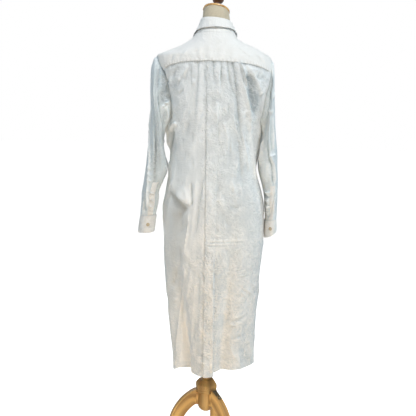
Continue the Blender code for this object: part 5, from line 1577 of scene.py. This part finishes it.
def sleeve(side):
    """A sleeve from the armhole to the cuff.  Returns the piece, its middle grid, the way its cloth
    faces, and the row of the grid at each section."""
    sign = 1 if side == "left" else -1
    stations = np.arange(SLEEVE_COLUMNS_FINE) * ARMHOLE_STEPS / SLEEVE_COLUMNS_FINE
    seam_turn, seam_height = armhole(stations, HEAD_SHRINK)
    seam_turn = sign * seam_turn
    edge_field = body_field(seam_turn, seam_height)[0]
    on_yoke = (stations > YOKE_CORNER) & (stations < FRONT_CORNER)
    edge_field = np.where(on_yoke, -ARM_SEAM_DEPTH / 2, edge_field)
    edge = skin(seam_turn, seam_height, edge_field)
    rings = np.concatenate([edge[None], sleeve_rings(SLEEVES[side], stations)])
    rows = np.linspace(0.0, 1.0, SLEEVE_ROWS_FINE) ** 0.92 * (len(rings) - 1)
    grid = smooth_rows(rings, rows)
    around = way_across(np.concatenate([grid, grid[:, :1]], axis=1))
    u = around[:, :-1] - around[:, -1:] / 2
    v = -np.concatenate([[0.0], np.cumsum(np.linalg.norm(np.diff(grid, axis=0), axis=-1).mean(axis=1))])
    v = np.broadcast_to(v[:, None], u.shape)

    def on_back(x, z):
        return nearest_cloth(grid, u, v, x, z, True)

    def on_front(x, z):
        return nearest_cloth(grid, u, v, sign * x, z, False)

    creases = creases_by(on_back, SLEEVE_CREASES[side]) + creases_by(on_front, SLEEVE_FRONT_CREASES)
    length = -v.min() / MM
    begin = {"top": 0.0, "cuff": -length}
    for seed, count, reach, low, high, *rest, spread in SLEEVE_CRUMPLE:
        ends = [begin[name] + way for name, way in (low, high)]
        creases += scattered(seed + (sign < 0), count, (-reach, reach), ends, *rest, 0, spread)
    field = np.clip(crease_field(u, v, creases), SLEEVE_DEEPEST, SLEEVE_HIGHEST)
    over_top = ease(YOKE_CORNER - 2, YOKE_CORNER + 1, stations) * (1 - ease(FRONT_CORNER, 18, stations))
    field = field + SLEEVE_HEAD_EASE * over_top * np.exp(-(((-v - SLEEVE_HEAD_DOWN) / SLEEVE_HEAD_HALF) ** 2))
    field = field * ease(0.0, 10 * MM, -v) * ease(0.0, 6 * MM, v - v.min())
    # Painted shade and painted light from the sleeve's shade table, laid on its creases' own shading.
    shade = field + crease_field(u, v, creases_by(on_back, SLEEVE_SHADE[side]))
    normal = grid_normals(grid, True)
    outwards = np.sign((normal * (grid - grid.mean(axis=1, keepdims=True))).sum())
    normal = normal * outwards
    middle = grid + normal * (field - CLOTH / 2)[..., None]
    tuck = middle[-1] + (middle[-1] - middle[-2]) * 1.2
    inwards = tuck.mean(axis=0) - tuck
    inwards /= np.linalg.norm(inwards, axis=-1, keepdims=True)
    middle = np.concatenate([middle, (tuck + inwards * 1.6 * MM)[None]])
    v = np.concatenate([v, v[-1:] - 4 * MM])
    u = np.concatenate([u, u[-1:]])
    uv = np.concatenate([np.stack([u, v], -1), np.stack([u[:, :1] + around[-1, -1], v[:, :1]], -1)], axis=1)
    shade = np.concatenate([shade, shade[-1:]])
    made = shell("sleeve_" + side + "_cloth", middle, CLOTH, uv, COTTON_SLEEVE,
                 ("sleeve_" + side,), wrap=True, flip=outwards < 0, painted_shading=shade)[0]
    row_of = np.interp(np.arange(len(rings)), rows, np.arange(SLEEVE_ROWS_FINE))
    return made, middle, normal, row_of


def sleeve_band(side, middle, normal, row_of):
    """The band over the sleeve's opening, laid on the sleeve's own cloth."""
    first = PLACKET_STATION[side] * SLEEVE_COLUMNS_FINE / ARMHOLE_STEPS
    last = (PLACKET_STATION[side] + 2) * SLEEVE_COLUMNS_FINE / ARMHOLE_STEPS
    columns = np.linspace(first, last, 14)
    rows = np.linspace(row_of[7], row_of[10] - 0.6, 70)[:, None]
    points = sample(middle, rows, columns)
    away = sample(normal, rows, columns)
    away /= np.linalg.norm(away, axis=-1, keepdims=True)
    lift = LIE + CLOTH / 2 + DOUBLE / 2
    grid = points + away * lift
    turned_out = np.sign((grid_normals(grid) * away).sum())
    uv = cloth_uv(grid, grid[..., 2])
    return shell("sleeve_placket_" + side + "_cloth", grid, DOUBLE, uv, COTTON_BAND,
                 ("sleeve_placket_" + side,), flip=turned_out < 0, crumple_and_glints=1.0)


def cuff(side):
    """A cuff is one strip round the wrist whose end laps over its start."""
    middle_turn = CUFF_STATION[side] / ARMHOLE_STEPS * 360.0
    turns = np.linspace(middle_turn - CUFF_LAP, middle_turn + 360.0 + CUFF_LAP, 120)
    stations = turns / 360.0 * ARMHOLE_STEPS
    rings = sleeve_rings(CUFFS[side], stations)
    rows = np.linspace(0.0, 2.0, 16)
    grid = smooth_rows(rings, rows)
    normal = grid_normals(grid)
    from_axis = grid - grid.mean(axis=1, keepdims=True)
    turned_out = np.sign((normal * from_axis).sum())
    normal = normal * turned_out
    lap = (CUFF_WALL + LIE) * ease(*CUFF_OVERLAP_TURNS, turns - turns[0])
    rng = np.random.default_rng(CUFF_SEEDS[side])
    waves = sum(rng.uniform(0.15, 0.4) * np.sin(np.radians(turns) * k + rng.uniform(0, 6))
                for k in (3, 7, 11))
    out = lap + (CUFF_WALL - WALL) / 2 - BAND / 2 + waves * MM * 0.6
    middle = grid + normal * out[None, :, None]
    uv = cloth_uv(middle, middle[..., 2])
    made, _ = shell("cuff_" + side + "_cloth", middle, BAND, uv, COTTON_BAND,
                    ("cuff_" + side,), flip=turned_out < 0, crumple_and_glints=1.0)
    last = len(turns) - 1
    place = last - last * CUFF_LAP / (360.0 + 2 * CUFF_LAP) * 0.8
    outer_grid = middle + normal * BAND / 2
    return made, outer_grid, normal, place


# ================================================================ buttons

HOLE_RADIUS = 0.65 * MM
HOLE_APART = 1.35 * MM      # of a hole from the button's middle, across and up
HOLES = [(a * HOLE_APART, b * HOLE_APART) for a in (-1, 1) for b in (-1, 1)]
BUTTON_WELL = 0.66          # height of the well's floor, of the thickness
SEWN_HALF = 1.5 * MM        # half length of the sewing thread that shows
SEWN_LIFT = 0.12 * MM


def button_mesh():
    """A four-hole button lying on the XY plane with its back at z = 0."""
    radius, thick = BUTTON_RADIUS, BUTTON_THICK
    profile = ((0.0, 0.0), (0.80, 0.0), (0.93, 0.12), (1.0, 0.40), (0.99, 0.72), (0.92, 0.95), (0.80, 1.0),
               (0.68, 0.90), (0.60, 0.72), (0.50, BUTTON_WELL), (0.0, BUTTON_WELL))
    builder = bmesh.new()
    sides = 36
    rings = []
    for share, lift in profile:
        if share == 0.0:
            rings.append([builder.verts.new((0.0, 0.0, lift * thick))])
            continue
        rings.append([builder.verts.new((share * radius * math.cos(2 * math.pi * i / sides),
                                         share * radius * math.sin(2 * math.pi * i / sides),
                                         lift * thick)) for i in range(sides)])
    for low, high in zip(rings, rings[1:]):
        for i in range(sides):
            n = (i + 1) % sides
            if len(low) == 1:
                builder.faces.new((low[0], high[n], high[i]))
            elif len(high) == 1:
                builder.faces.new((low[i], low[n], high[0]))
            else:
                builder.faces.new((low[i], low[n], high[n], high[i]))
    bmesh.ops.recalc_face_normals(builder, faces=builder.faces)
    mesh = bpy.data.meshes.new("button_blank")
    builder.to_mesh(mesh)
    builder.free()
    blank = bpy.data.objects.new("button_blank", mesh)
    bpy.context.scene.collection.objects.link(blank)
    cutters = bmesh.new()
    for x, y in HOLES:
        bmesh.ops.create_cone(cutters, cap_ends=True, segments=12, radius1=HOLE_RADIUS, radius2=HOLE_RADIUS,
                              depth=4 * thick, matrix=Matrix.Translation((x, y, 0.0)))
    cutter_mesh = bpy.data.meshes.new("button_holes")
    cutters.to_mesh(cutter_mesh)
    cutters.free()
    cutter = bpy.data.objects.new("button_holes", cutter_mesh)
    bpy.context.scene.collection.objects.link(cutter)
    drill = blank.modifiers.new("holes", "BOOLEAN")
    drill.operation = "DIFFERENCE"
    drill.object = cutter
    bpy.context.view_layer.update()
    done = bpy.data.meshes.new_from_object(blank.evaluated_get(bpy.context.evaluated_depsgraph_get()))
    for old in (blank, cutter):
        bpy.data.objects.remove(old, do_unlink=True)
    points = np.array([v.co for v in done.vertices])
    faces = [tuple(face.vertices) for face in done.polygons]
    return points, faces


BUTTON_POINTS, BUTTON_FACES = button_mesh()


def frame_on(facing):
    """Axes across, up and out for something sewn flat on a surface that faces the given way."""
    out = np.asarray(facing, float) / np.linalg.norm(facing)
    across = np.cross((0.0, 0.0, 1.0), out)
    across /= np.linalg.norm(across)
    return np.stack([across, np.cross(out, across), out])


def sew_button(node, seat, facing):
    axes = frame_on(facing)
    points = BUTTON_POINTS @ axes + seat
    add_mesh(node + "_shell", points, BUTTON_FACES, BUTTON, (node,), smooth_angle=35.0)
    level = BUTTON_WELL * BUTTON_THICK + SEWN_LIFT
    for side in (-1, 1):
        ends = np.array([(side * HOLE_APART, way * SEWN_HALF, level) for way in (-1, 1)])
        button_threads.append((ends @ axes + seat, axes[2]))


button_threads = []


# ================================================================ stitches

def stitch_tree():
    """Geometry nodes: a stitch at every pitch along lines, lying along them and facing their 'out'."""
    tree = bpy.data.node_groups.new("stitches_along_lines", "GeometryNodeTree")
    sockets = {}
    for label, kind in (("Geometry", "Geometry"), ("Pitch", "Float"), ("Length", "Float"),
                        ("Width", "Float"), ("Thread", "Material")):
        socket = tree.interface.new_socket(label, in_out="INPUT", socket_type="NodeSocket" + kind)
        sockets[label] = socket.identifier
    tree.interface.new_socket("Geometry", in_out="OUTPUT", socket_type="NodeSocketGeometry")
    start = tree.nodes.new("NodeGroupInput").outputs
    curve = add_node(tree, "GeometryNodeMeshToCurve", {"Mesh": start["Geometry"]}).outputs["Curve"]
    even = add_node(tree, "GeometryNodeResampleCurve", {"Curve": curve}, mode="LENGTH")
    plug(tree, even.inputs["Length"], start["Pitch"])
    ball = add_node(tree, "GeometryNodeMeshUVSphere", {"Segments": 6, "Rings": 4, "Radius": 0.5})
    out = add_node(tree, "GeometryNodeInputNamedAttribute", {"Name": "out"}, data_type="FLOAT_VECTOR")
    tangent = tree.nodes.new("GeometryNodeInputTangent").outputs["Tangent"]
    lay = add_node(tree, "FunctionNodeAlignRotationToVector", {"Vector": tangent}, axis="X")
    stand = add_node(tree, "FunctionNodeAlignRotationToVector",
                     {"Rotation": lay.outputs["Rotation"], "Vector": out.outputs["Attribute"]},
                     axis="Z", pivot_axis="X")
    uneven = add_node(tree, "FunctionNodeRandomValue", {"Min": 0.85, "Max": 1.08, "Seed": 7},
                      data_type="FLOAT").outputs["Value"]
    size = add_node(tree, "ShaderNodeCombineXYZ", {"X": sums(tree, "MULTIPLY", start["Length"], uneven),
                                                   "Y": start["Width"], "Z": start["Width"]})
    put = add_node(tree, "GeometryNodeInstanceOnPoints", {
        "Points": even.outputs["Curve"], "Instance": ball.outputs["Mesh"],
        "Rotation": stand.outputs["Rotation"], "Scale": size.outputs[0]})
    real = add_node(tree, "GeometryNodeRealizeInstances", {"Geometry": put.outputs["Instances"]})
    paint = add_node(tree, "GeometryNodeSetMaterial",
                     {"Geometry": real.outputs["Geometry"], "Material": start["Thread"]})
    add_node(tree, "NodeGroupOutput", {"Geometry": paint.outputs["Geometry"]})
    return tree, sockets


STITCHES, STITCH_SOCKETS = stitch_tree()


def stitch_rows(name, lines, pitch=2.6 * MM, length=2.0 * MM, width=0.42 * MM):
    """One joined mesh of stitches along lines of points, each with the way it faces."""
    mesh = bpy.data.meshes.new(name + "_lines")
    points, edges, facing = [], [], []
    for line, out in lines:
        first = len(points)
        points += (np.asarray(line) + POLE).tolist()
        facing += np.broadcast_to(out, np.shape(line)).tolist()
        edges += [(first + i, first + i + 1) for i in range(len(line) - 1)]
    mesh.from_pydata(points, edges, [])
    attribute = mesh.attributes.new("out", "FLOAT_VECTOR", "POINT")
    attribute.data.foreach_set("vector", np.array(facing, np.float32).ravel())
    guide = bpy.data.objects.new(name + "_lines", mesh)
    bpy.context.scene.collection.objects.link(guide)
    sewing = guide.modifiers.new("stitches", "NODES")
    sewing.node_group = STITCHES
    for label, value in (("Pitch", pitch), ("Length", length), ("Width", width), ("Thread", THREAD)):
        sewing[STITCH_SOCKETS[label]] = value
    bpy.context.view_layer.update()
    done = bpy.data.meshes.new_from_object(guide.evaluated_get(bpy.context.evaluated_depsgraph_get()))
    bpy.data.objects.remove(guide, do_unlink=True)
    done.name = name
    done.shade_smooth()
    if not done.materials:
        done.materials.append(THREAD)
    made = bpy.data.objects.new(name, done)
    bpy.context.scene.collection.objects.link(made)
    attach(made, "root")
    return made


STITCH_LIFT = 0.05 * MM


def seam_line(outer, rows, columns, normals=None):
    """Points of a stitch row on an outer grid, with the way they face."""
    normals = grid_normals(outer) if normals is None else normals
    out = sample(normals, rows, columns)
    out /= np.linalg.norm(out, axis=-1, keepdims=True)
    return sample(outer, rows, columns) + out * STITCH_LIFT, out


def seam_across(outer, row, count, margin=0.0, normals=None):
    """A stitch row along one row of a grid, from a margin to the same margin."""
    return seam_line(outer, np.full(count, row), np.linspace(margin, outer.shape[1] - 1 - margin, count),
                     normals)


def seam_up(outer, column, first, last, count, normals=None):
    """A stitch row up one column of a grid."""
    return seam_line(outer, np.linspace(first, last, count), np.full(count, column), normals)


# ================================================================ dress form

FORM_LAP_TURNS = (145.0, 160.0)
SHOULDER_ROWS = [MM * height for height in (1386, 1392, 1398, 1405, 1412, 1420, 1429)]
NECK_RINGS = table(("radius", "middle_x", "middle_y", "height", "turn_forward", "turn_right"), (
    (56, 1, 0, 1448, 2, 1), (47.5, 1, -3, 1472, 7, 4), (45, 1, -7, 1492, 13, 6), (42.5, 2, -12, 1514, 18, 8)))


def tilt_matrix(forward, right):
    """Turn about X that leans the top forwards, then about Y that lowers the right side."""
    f, r = math.radians(forward), math.radians(right)
    about_x = np.array([[1, 0, 0], [0, math.cos(f), -math.sin(f)], [0, math.sin(f), math.cos(f)]])
    about_y = np.array([[math.cos(r), 0, -math.sin(r)], [0, 1, 0], [math.sin(r), 0, math.cos(r)]])
    return about_y @ about_x


def loft(name, rings, material, replaces, uv_name="cloth", smooth_angle=40.0):
    """A closed solid through rings that run anticlockwise seen from the end they go to."""
    rings = np.asarray(rings, float)
    rows, columns = rings.shape[:2]
    around = way_across(np.concatenate([rings, rings[:, :1]], axis=1))
    along = np.concatenate([[0.0], np.cumsum(np.linalg.norm(np.diff(rings, axis=0), axis=-1).mean(axis=1))])
    uv = np.stack([around, np.broadcast_to(along[:, None], around.shape)], -1)
    r, c = quad_rows(rows, columns, True)
    faces = (r * columns + c % columns).tolist()
    marks = [uv[r, c].reshape(-1, 2)]
    points = rings.reshape(-1, 3)
    for end, order in ((0, -1), (rows - 1, 1)):
        centre = len(points)
        points = np.concatenate([points, rings[end].mean(axis=0)[None]])
        for i in range(columns):
            corners = (end * columns + i, end * columns + (i + 1) % columns, centre)
            faces.append(list(corners[::order]))
            marks.append(np.array([uv[end, i]] * 3))
    return add_mesh(name, points, faces, material, replaces, np.concatenate(marks), uv_name,
                    smooth_angle)


def dress_form():
    sides = 120
    turns = -np.arange(sides) * 360.0 / sides
    sine, cosine = np.sin(np.radians(turns)), np.cos(np.radians(turns))
    rings = []
    heights = np.concatenate([[0.744, 0.7465, 0.752, 0.762], np.linspace(0.775, 1.374, 60)])
    for height in heights:
        side, depth = half_axes(FORM, sine, cosine, height)
        rings.append(np.stack([side * sine, depth * cosine, height + 0 * sine], -1))
    from_back = np.abs((turns + 180.0) % 360.0 - 180.0)
    clear = WALL + FORM_GAP + (WALL + 3 * LIE) * ease(*FORM_LAP_TURNS, from_back)
    for height in SHOULDER_ROWS:
        rings.append(skin(turns, height, -clear))
    neck = []
    for radius, x, y, height, forward, right in zip(*NECK_RINGS.values()):
        flat = radius * np.stack([sine, cosine, 0 * sine], -1)
        neck.append(np.array((x, y, height)) + flat @ tilt_matrix(forward, right).T)
    neck = smooth_rows(np.array([rings[-1]] + neck), np.linspace(0, 4, 25))[1:]
    rings += list(neck)
    loft("form_torso_linen", rings, LINEN, ("form_torso",))


def lathe(name, profile, sides, at, axis, material, replaces, shape=None):
    """A turned piece; shape may change the radius by angle and row."""
    turn = Vector((0, 0, 1)).rotation_difference(Vector(axis).normalized()).to_matrix()
    angles = np.arange(sides) * 2 * math.pi / sides
    rings = []
    for radius, lift in profile:
        sized = radius * MM * (np.ones(sides) if shape is None else shape(angles, lift))
        ring = np.stack([sized * np.cos(angles), sized * np.sin(angles), np.full(sides, lift * MM)], -1)
        rings.append(ring @ np.array(turn).T + np.asarray(at))
    return loft(name, rings, material, replaces, "grain")


def rounded(profile, steps=3, cut=0.35):
    """A profile whose corners are eased by short arcs."""
    made = [profile[0]]
    for before, here, after in zip(profile, profile[1:], profile[2:]):
        before, here, after = (np.array(p, float) for p in (before, here, after))
        reach = min(np.linalg.norm(here - before), np.linalg.norm(after - here)) * cut
        first = here + (before - here) / max(np.linalg.norm(before - here), 1e-9) * reach
        last = here + (after - here) / max(np.linalg.norm(after - here), 1e-9) * reach
        for t in np.linspace(0, 1, steps + 1):
            made.append(tuple((1 - t) ** 2 * first + 2 * t * (1 - t) * here + t * t * last))
    made.append(profile[-1])
    return made


def neck_fittings():
    end = [NECK_RINGS[column][-1] for column in ("middle_x", "middle_y", "height")]
    axis = tilt_matrix(NECK_RINGS["turn_forward"][-1], NECK_RINGS["turn_right"][-1])[:, 2]
    cap = rounded(((1, 0.3), (43, 0.3), (44.5, 1.5), (44.5, 5.5), (42.5, 7.5), (20, 8.5), (1, 8.5)))
    lathe("neck_cap_wood", cap, 96, end, axis, WOOD_LIGHT, ("neck_cap",))
    finial = rounded(((1, 8.8), (16, 8.8), (17.5, 11), (17.5, 15), (12, 19), (8.5, 25), (10, 30), (17, 36),
                      (20, 43), (18.5, 51), (12, 58), (4, 61.5), (0.5, 61.8)), 4, 0.45)
    lathe("neck_finial_wood", finial, 64, end, axis, WOOD_DARK, ("neck_finial",))


# ================================================================ hub and legs

HUB_FLAT = 0.866            # distance of a six-sided block's flats, of its corners
HUB_CORNER = 0.985          # reach of its eased corners, of the sharp ones'
HUB_HEADING = 10.0          # of one of the flats, in degrees
BLOCK_START = (215.8, 218.2)    # heights in mm over which the block grows out of the barrel
FLUTES = 6                  # on each flat
FLUTE_DEPTH = 0.06          # of the radius
FLUTE_SPREAD = 0.86         # of a flat's width
FLUTE_START = (228.0, 231.0)    # heights in mm over which the flutes grow
FLUTE_END = (257.0, 260.0)      # and die away


def hub_shape(angles, lift):
    """Six-sided with eased corners above the lower barrel, and fluted below the chamfer."""
    block = float(ease(*BLOCK_START, lift))
    from_flat = (angles - math.radians(HUB_HEADING) + math.pi / 6) % (math.pi / 3) - math.pi / 6
    six = np.minimum(HUB_FLAT / np.cos(from_flat), HUB_CORNER)
    fluted = float(ease(*FLUTE_START, lift) * (1 - ease(*FLUTE_END, lift)))
    across = np.tan(from_flat) / math.tan(math.pi / 6)
    groove = np.abs(np.sin(across * math.pi * FLUTES / 2)) ** 0.6
    groove = 1 - FLUTE_DEPTH * fluted * (1 - groove) * (np.abs(across) < FLUTE_SPREAD)
    return (1 - block) + block * six * groove


def hub():
    dome = [(29 * math.sin(t), 171 - 29 * math.cos(t)) for t in np.radians(np.linspace(3, 90, 16))]
    block = rounded(((28.9, 215.6), (38.8, 217), (39, 219), (39, 224), (37.2, 226), (37.2, 228), (39, 230),
                     (39, 242), (36.5, 247), (25, 259.5), (18, 260.5)), 3, 0.3)
    fine = []
    for (r0, z0), (r1, z1) in zip(block, block[1:]):
        count = max(1, int(abs(z1 - z0) / 1.6))
        fine += [(r0 + (r1 - r0) * t, z0 + (z1 - z0) * t) for t in np.arange(count) / count]
    profile = dome + [(29, 190), (29, 205)] + fine + [block[-1], (1, 260.5)]
    lathe("hub_wood", profile, 288, (0, 0, 0), (0, 0, 1), WOOD_TURNED, ("hub",), hub_shape)


LEG_ANGLES = {"leg_1": 10.0, "leg_2": 130.0, "leg_3": 250.0}
LEG_WIDTH = 23.0 * MM
LEG_CORNER = 3.0 * MM
ARCH_CENTRE_R = -28.0 * MM
ARCH_CENTRE_Z = 75.0 * MM
ARCH_OUTER = 166.0 * MM
ARCH_INNER = 118.0 * MM
ARCH_TAPER = 4.0 * MM
ARCH_START = 53.0
SWEEP_RADIUS = 60.0 * MM
SWEEP_TAPER = 8.0 * MM
SWEEP_TURN = 88.0
ROOT = table(("top_r", "top_z", "low_r", "low_z"), (
    (29.3, 216.2, 29.3, 170), (37.2, 216.2, 37.2, 171.5), (37.5, 227, 37.5, 171.5), (54, 219.5, 39.5, 171)))
FOOT = table(("along", "low", "high"), ((10, 0, 29), (26, 0, 25), (40, 0, 19), (46, 2, 14)))
ARCH_STEPS = 26
SWEEP_STEPS = 22


def leg_edges():
    """Upper and lower edge of a leg in its own plane, from the hub to the end of the foot."""
    rows = [tuple(row) for row in zip(*ROOT.values())]
    for i in range(ARCH_STEPS + 1):
        share = i / ARCH_STEPS
        angle = math.radians(ARCH_START) * (1 - share)
        outer, inner = ARCH_OUTER - ARCH_TAPER * share, ARCH_INNER + ARCH_TAPER * share
        rows.append((ARCH_CENTRE_R + outer * math.cos(angle), ARCH_CENTRE_Z + outer * math.sin(angle),
                     ARCH_CENTRE_R + inner * math.cos(angle), ARCH_CENTRE_Z + inner * math.sin(angle)))
    middle_r = ARCH_CENTRE_R + (ARCH_OUTER + ARCH_INNER) / 2 + SWEEP_RADIUS
    for i in range(1, SWEEP_STEPS + 1):
        share = i / SWEEP_STEPS
        angle = math.radians(SWEEP_TURN) * share
        half = (ARCH_OUTER - ARCH_INNER) / 2 - ARCH_TAPER - SWEEP_TAPER * share
        near, far = SWEEP_RADIUS - half, SWEEP_RADIUS + half
        rows.append((middle_r - near * math.cos(angle), ARCH_CENTRE_Z - near * math.sin(angle),
                     middle_r - far * math.cos(angle), ARCH_CENTRE_Z - far * math.sin(angle)))
    foot_r = (rows[-1][0] + rows[-1][2]) / 2
    foot = np.stack([FOOT["along"], FOOT["low"], FOOT["high"]], -1)
    for along, low, high in smooth_rows(foot, np.linspace(0, 3, 13)):
        rows.append((foot_r + along, high, foot_r + along, max(low, 0.0)))
    return rows


def leg_section(top_r, top_z, low_r, low_z, heading):
    """A rounded oblong between the leg's upper and lower edge."""
    half = math.hypot(top_r - low_r, top_z - low_z) / 2
    out_r, out_z = (top_r - low_r) / (2 * half), (top_z - low_z) / (2 * half)
    wide = LEG_WIDTH / 2
    corner = min(LEG_CORNER, half * 0.6)
    c, s = math.cos(math.radians(heading)), math.sin(math.radians(heading))
    points = []
    for quarter in range(4):
        middle_across = (wide - corner) * (1 if quarter in (0, 3) else -1)
        middle_out = (half - corner) * (1 if quarter in (0, 1) else -1)
        for t in np.radians(90.0 * quarter + np.linspace(0.0, 90.0, 5)):
            across, out = middle_across + corner * math.cos(t), middle_out + corner * math.sin(t)
            r, z = (top_r + low_r) / 2 + out * out_r, (top_z + low_z) / 2 + out * out_z
            points.append((r * c - across * s, r * s + across * c, z))
    return points


def legs():
    for name, heading in LEG_ANGLES.items():
        rings = [leg_section(*edge, heading) for edge in leg_edges()]
        made = loft(name + "_wood", rings, WOOD, (name,), "grain", 35.0)
        face_outwards(made)


def face_outwards(made):
    builder = bmesh.new()
    builder.from_mesh(made.data)
    bmesh.ops.recalc_face_normals(builder, faces=builder.faces)
    builder.to_mesh(made.data)
    builder.free()


STRAP_TURNS = (65.5, 57.5)
STRAP_HALF = 8.0 * MM
STRAP_THICK = 2.5 * MM
BOLT_TURN = 54.5


def on_leg_top(turn, out, across, heading):
    """A point above the arch's outer edge, in the plane of a leg."""
    angle = math.radians(turn)
    r = ARCH_CENTRE_R + (ARCH_OUTER + out) * math.cos(angle)
    z = ARCH_CENTRE_Z + (ARCH_OUTER + out) * math.sin(angle)
    c, s = math.cos(math.radians(heading)), math.sin(math.radians(heading))
    return np.array((r * c - across * s, r * s + across * c, z))


def leg_fittings():
    """The dark strap at the root of the second leg and its round-headed bolt."""
    heading = LEG_ANGLES["leg_2"]
    rings = []
    for turn in np.linspace(*STRAP_TURNS, 9):
        section = []
        for quarter in range(4):
            side = 1 if quarter in (0, 3) else -1
            high = 1 if quarter in (0, 1) else 0
            for t in np.radians(90.0 * quarter + np.linspace(0.0, 90.0, 4)):
                across = side * (STRAP_HALF - 0.8 * MM) + 0.8 * MM * math.cos(t)
                out = LIE + (STRAP_THICK - 0.8 * MM if high else 0.8 * MM) + 0.8 * MM * math.sin(t)
                section.append(on_leg_top(turn, out, across, heading))
        rings.append(section)
    strap = loft("leg_strap_metal", rings, METAL, ("leg_strap",), "grain", 35.0)
    face_outwards(strap)
    seat = on_leg_top(BOLT_TURN, LIE, 0.0, heading)
    facing = on_leg_top(BOLT_TURN, 1.0, 0.0, heading) - on_leg_top(BOLT_TURN, 0.0, 0.0, heading)
    dome = [(7.5 * math.cos(t), 1.5 + 5.1 * math.sin(t)) for t in np.radians(np.linspace(0, 88, 9))]
    lathe("leg_bolt_metal", [(1, 0.0), (7, 0.0)] + dome, 40, seat, facing, METAL, ("leg_bolt",))


# ================================================================ making it all

make_camera()
make_floor()
make_light()

back_made, back_outer = back_panel()
yoke_made, yoke_outer = yoke()
front_left_made, front_left_outer, _, _ = front_panel(1, "front_left")
front_right_made, front_right_outer, right_turns, right_heights = front_panel(-1, "front_right")
band_made, band_outer = front_band(right_turns, right_heights)
stand_made, stand_outer = collar_stand()
fall_made, fall_outer = collar_fall()

# Stitches lie along rows and columns of the pieces' own grids, at the given place and count.
CUFF_MIDDLE_ROW = 7.5
sleeve_pieces, sleeve_lines = {}, []
for side in ("left", "right"):
    sleeve_made, sleeve_middle, sleeve_normal, row_of = sleeve(side)
    strip_made, strip = sleeve_band(side, sleeve_middle[:-1], sleeve_normal, row_of)
    cuff_made, cuff_outer, cuff_normal, cuff_place = cuff(side)
    seat = sample(cuff_outer, CUFF_MIDDLE_ROW, cuff_place)
    facing = sample(cuff_normal, CUFF_MIDDLE_ROW, cuff_place)
    sew_button("cuff_button_" + side, seat + facing * 0.1 * MM, facing)
    sleeve_pieces[side] = (sleeve_made, strip_made, cuff_made)
    last_column = cuff_outer.shape[1] - 1
    for row in (1.4, 13.6):
        sleeve_lines.append(seam_across(cuff_outer, row, 150, 1.5, cuff_normal))
    for column in (1.8, last_column - 1.8):
        sleeve_lines.append(seam_up(cuff_outer, column, 1.4, 13.6, 24, cuff_normal))
    strip_normal = grid_normals(strip)
    strip_normal *= np.sign((strip_normal * strip).sum())
    for column in (1.6, 11.4):
        sleeve_lines.append(seam_up(strip, column, 1, 68, 70, strip_normal))

for i in range(FRONT_BUTTONS):
    height = FRONT_BUTTON_TOP - i * FRONT_BUTTON_PITCH
    facing = skin_normal(-180.0, height)
    seat = skin(-180.0, height, LIE + DOUBLE + 0.3 * MM)
    sew_button("front_button_{:02d}".format(i + 1), seat, facing)

dress_form()
neck_fittings()
hub()
legs()
leg_fittings()
pole_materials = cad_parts["pole"].data.materials
pole_materials.clear()
pole_materials.append(WOOD_TURNED)

# ---------------------------------------------------------------- topstitching

fall_last = fall_outer.shape[1] - 1
band_last = band_outer.shape[0] - 2
stitch_rows("body_stitches", [
    seam_across(yoke_outer, 1.1, 260, 22),
    seam_across(back_outer, 2.0, 300),
    seam_across(front_left_outer, 2.0, 160, normals=-grid_normals(front_left_outer)),
    seam_across(front_right_outer, 2.0, 160),
    seam_up(band_outer, 1.0, 1, band_last, 300),
    seam_up(band_outer, 7.0, 1, band_last, 300),
])
stitch_rows("collar_stitches", [
    seam_across(fall_outer, 2.6, 220, 4),
    seam_up(fall_outer, 4.0, 2.6, 18, 30),
    seam_up(fall_outer, fall_last - 4.0, 2.6, 18, 30),
    seam_across(stand_outer, 1.0, 220, 1),
], pitch=2.4 * MM)
stitch_rows("sleeve_stitches", sleeve_lines, pitch=2.4 * MM)
stitch_rows("button_threads_sewn", button_threads, pitch=2.9 * MM, length=3.4 * MM, width=0.7 * MM)
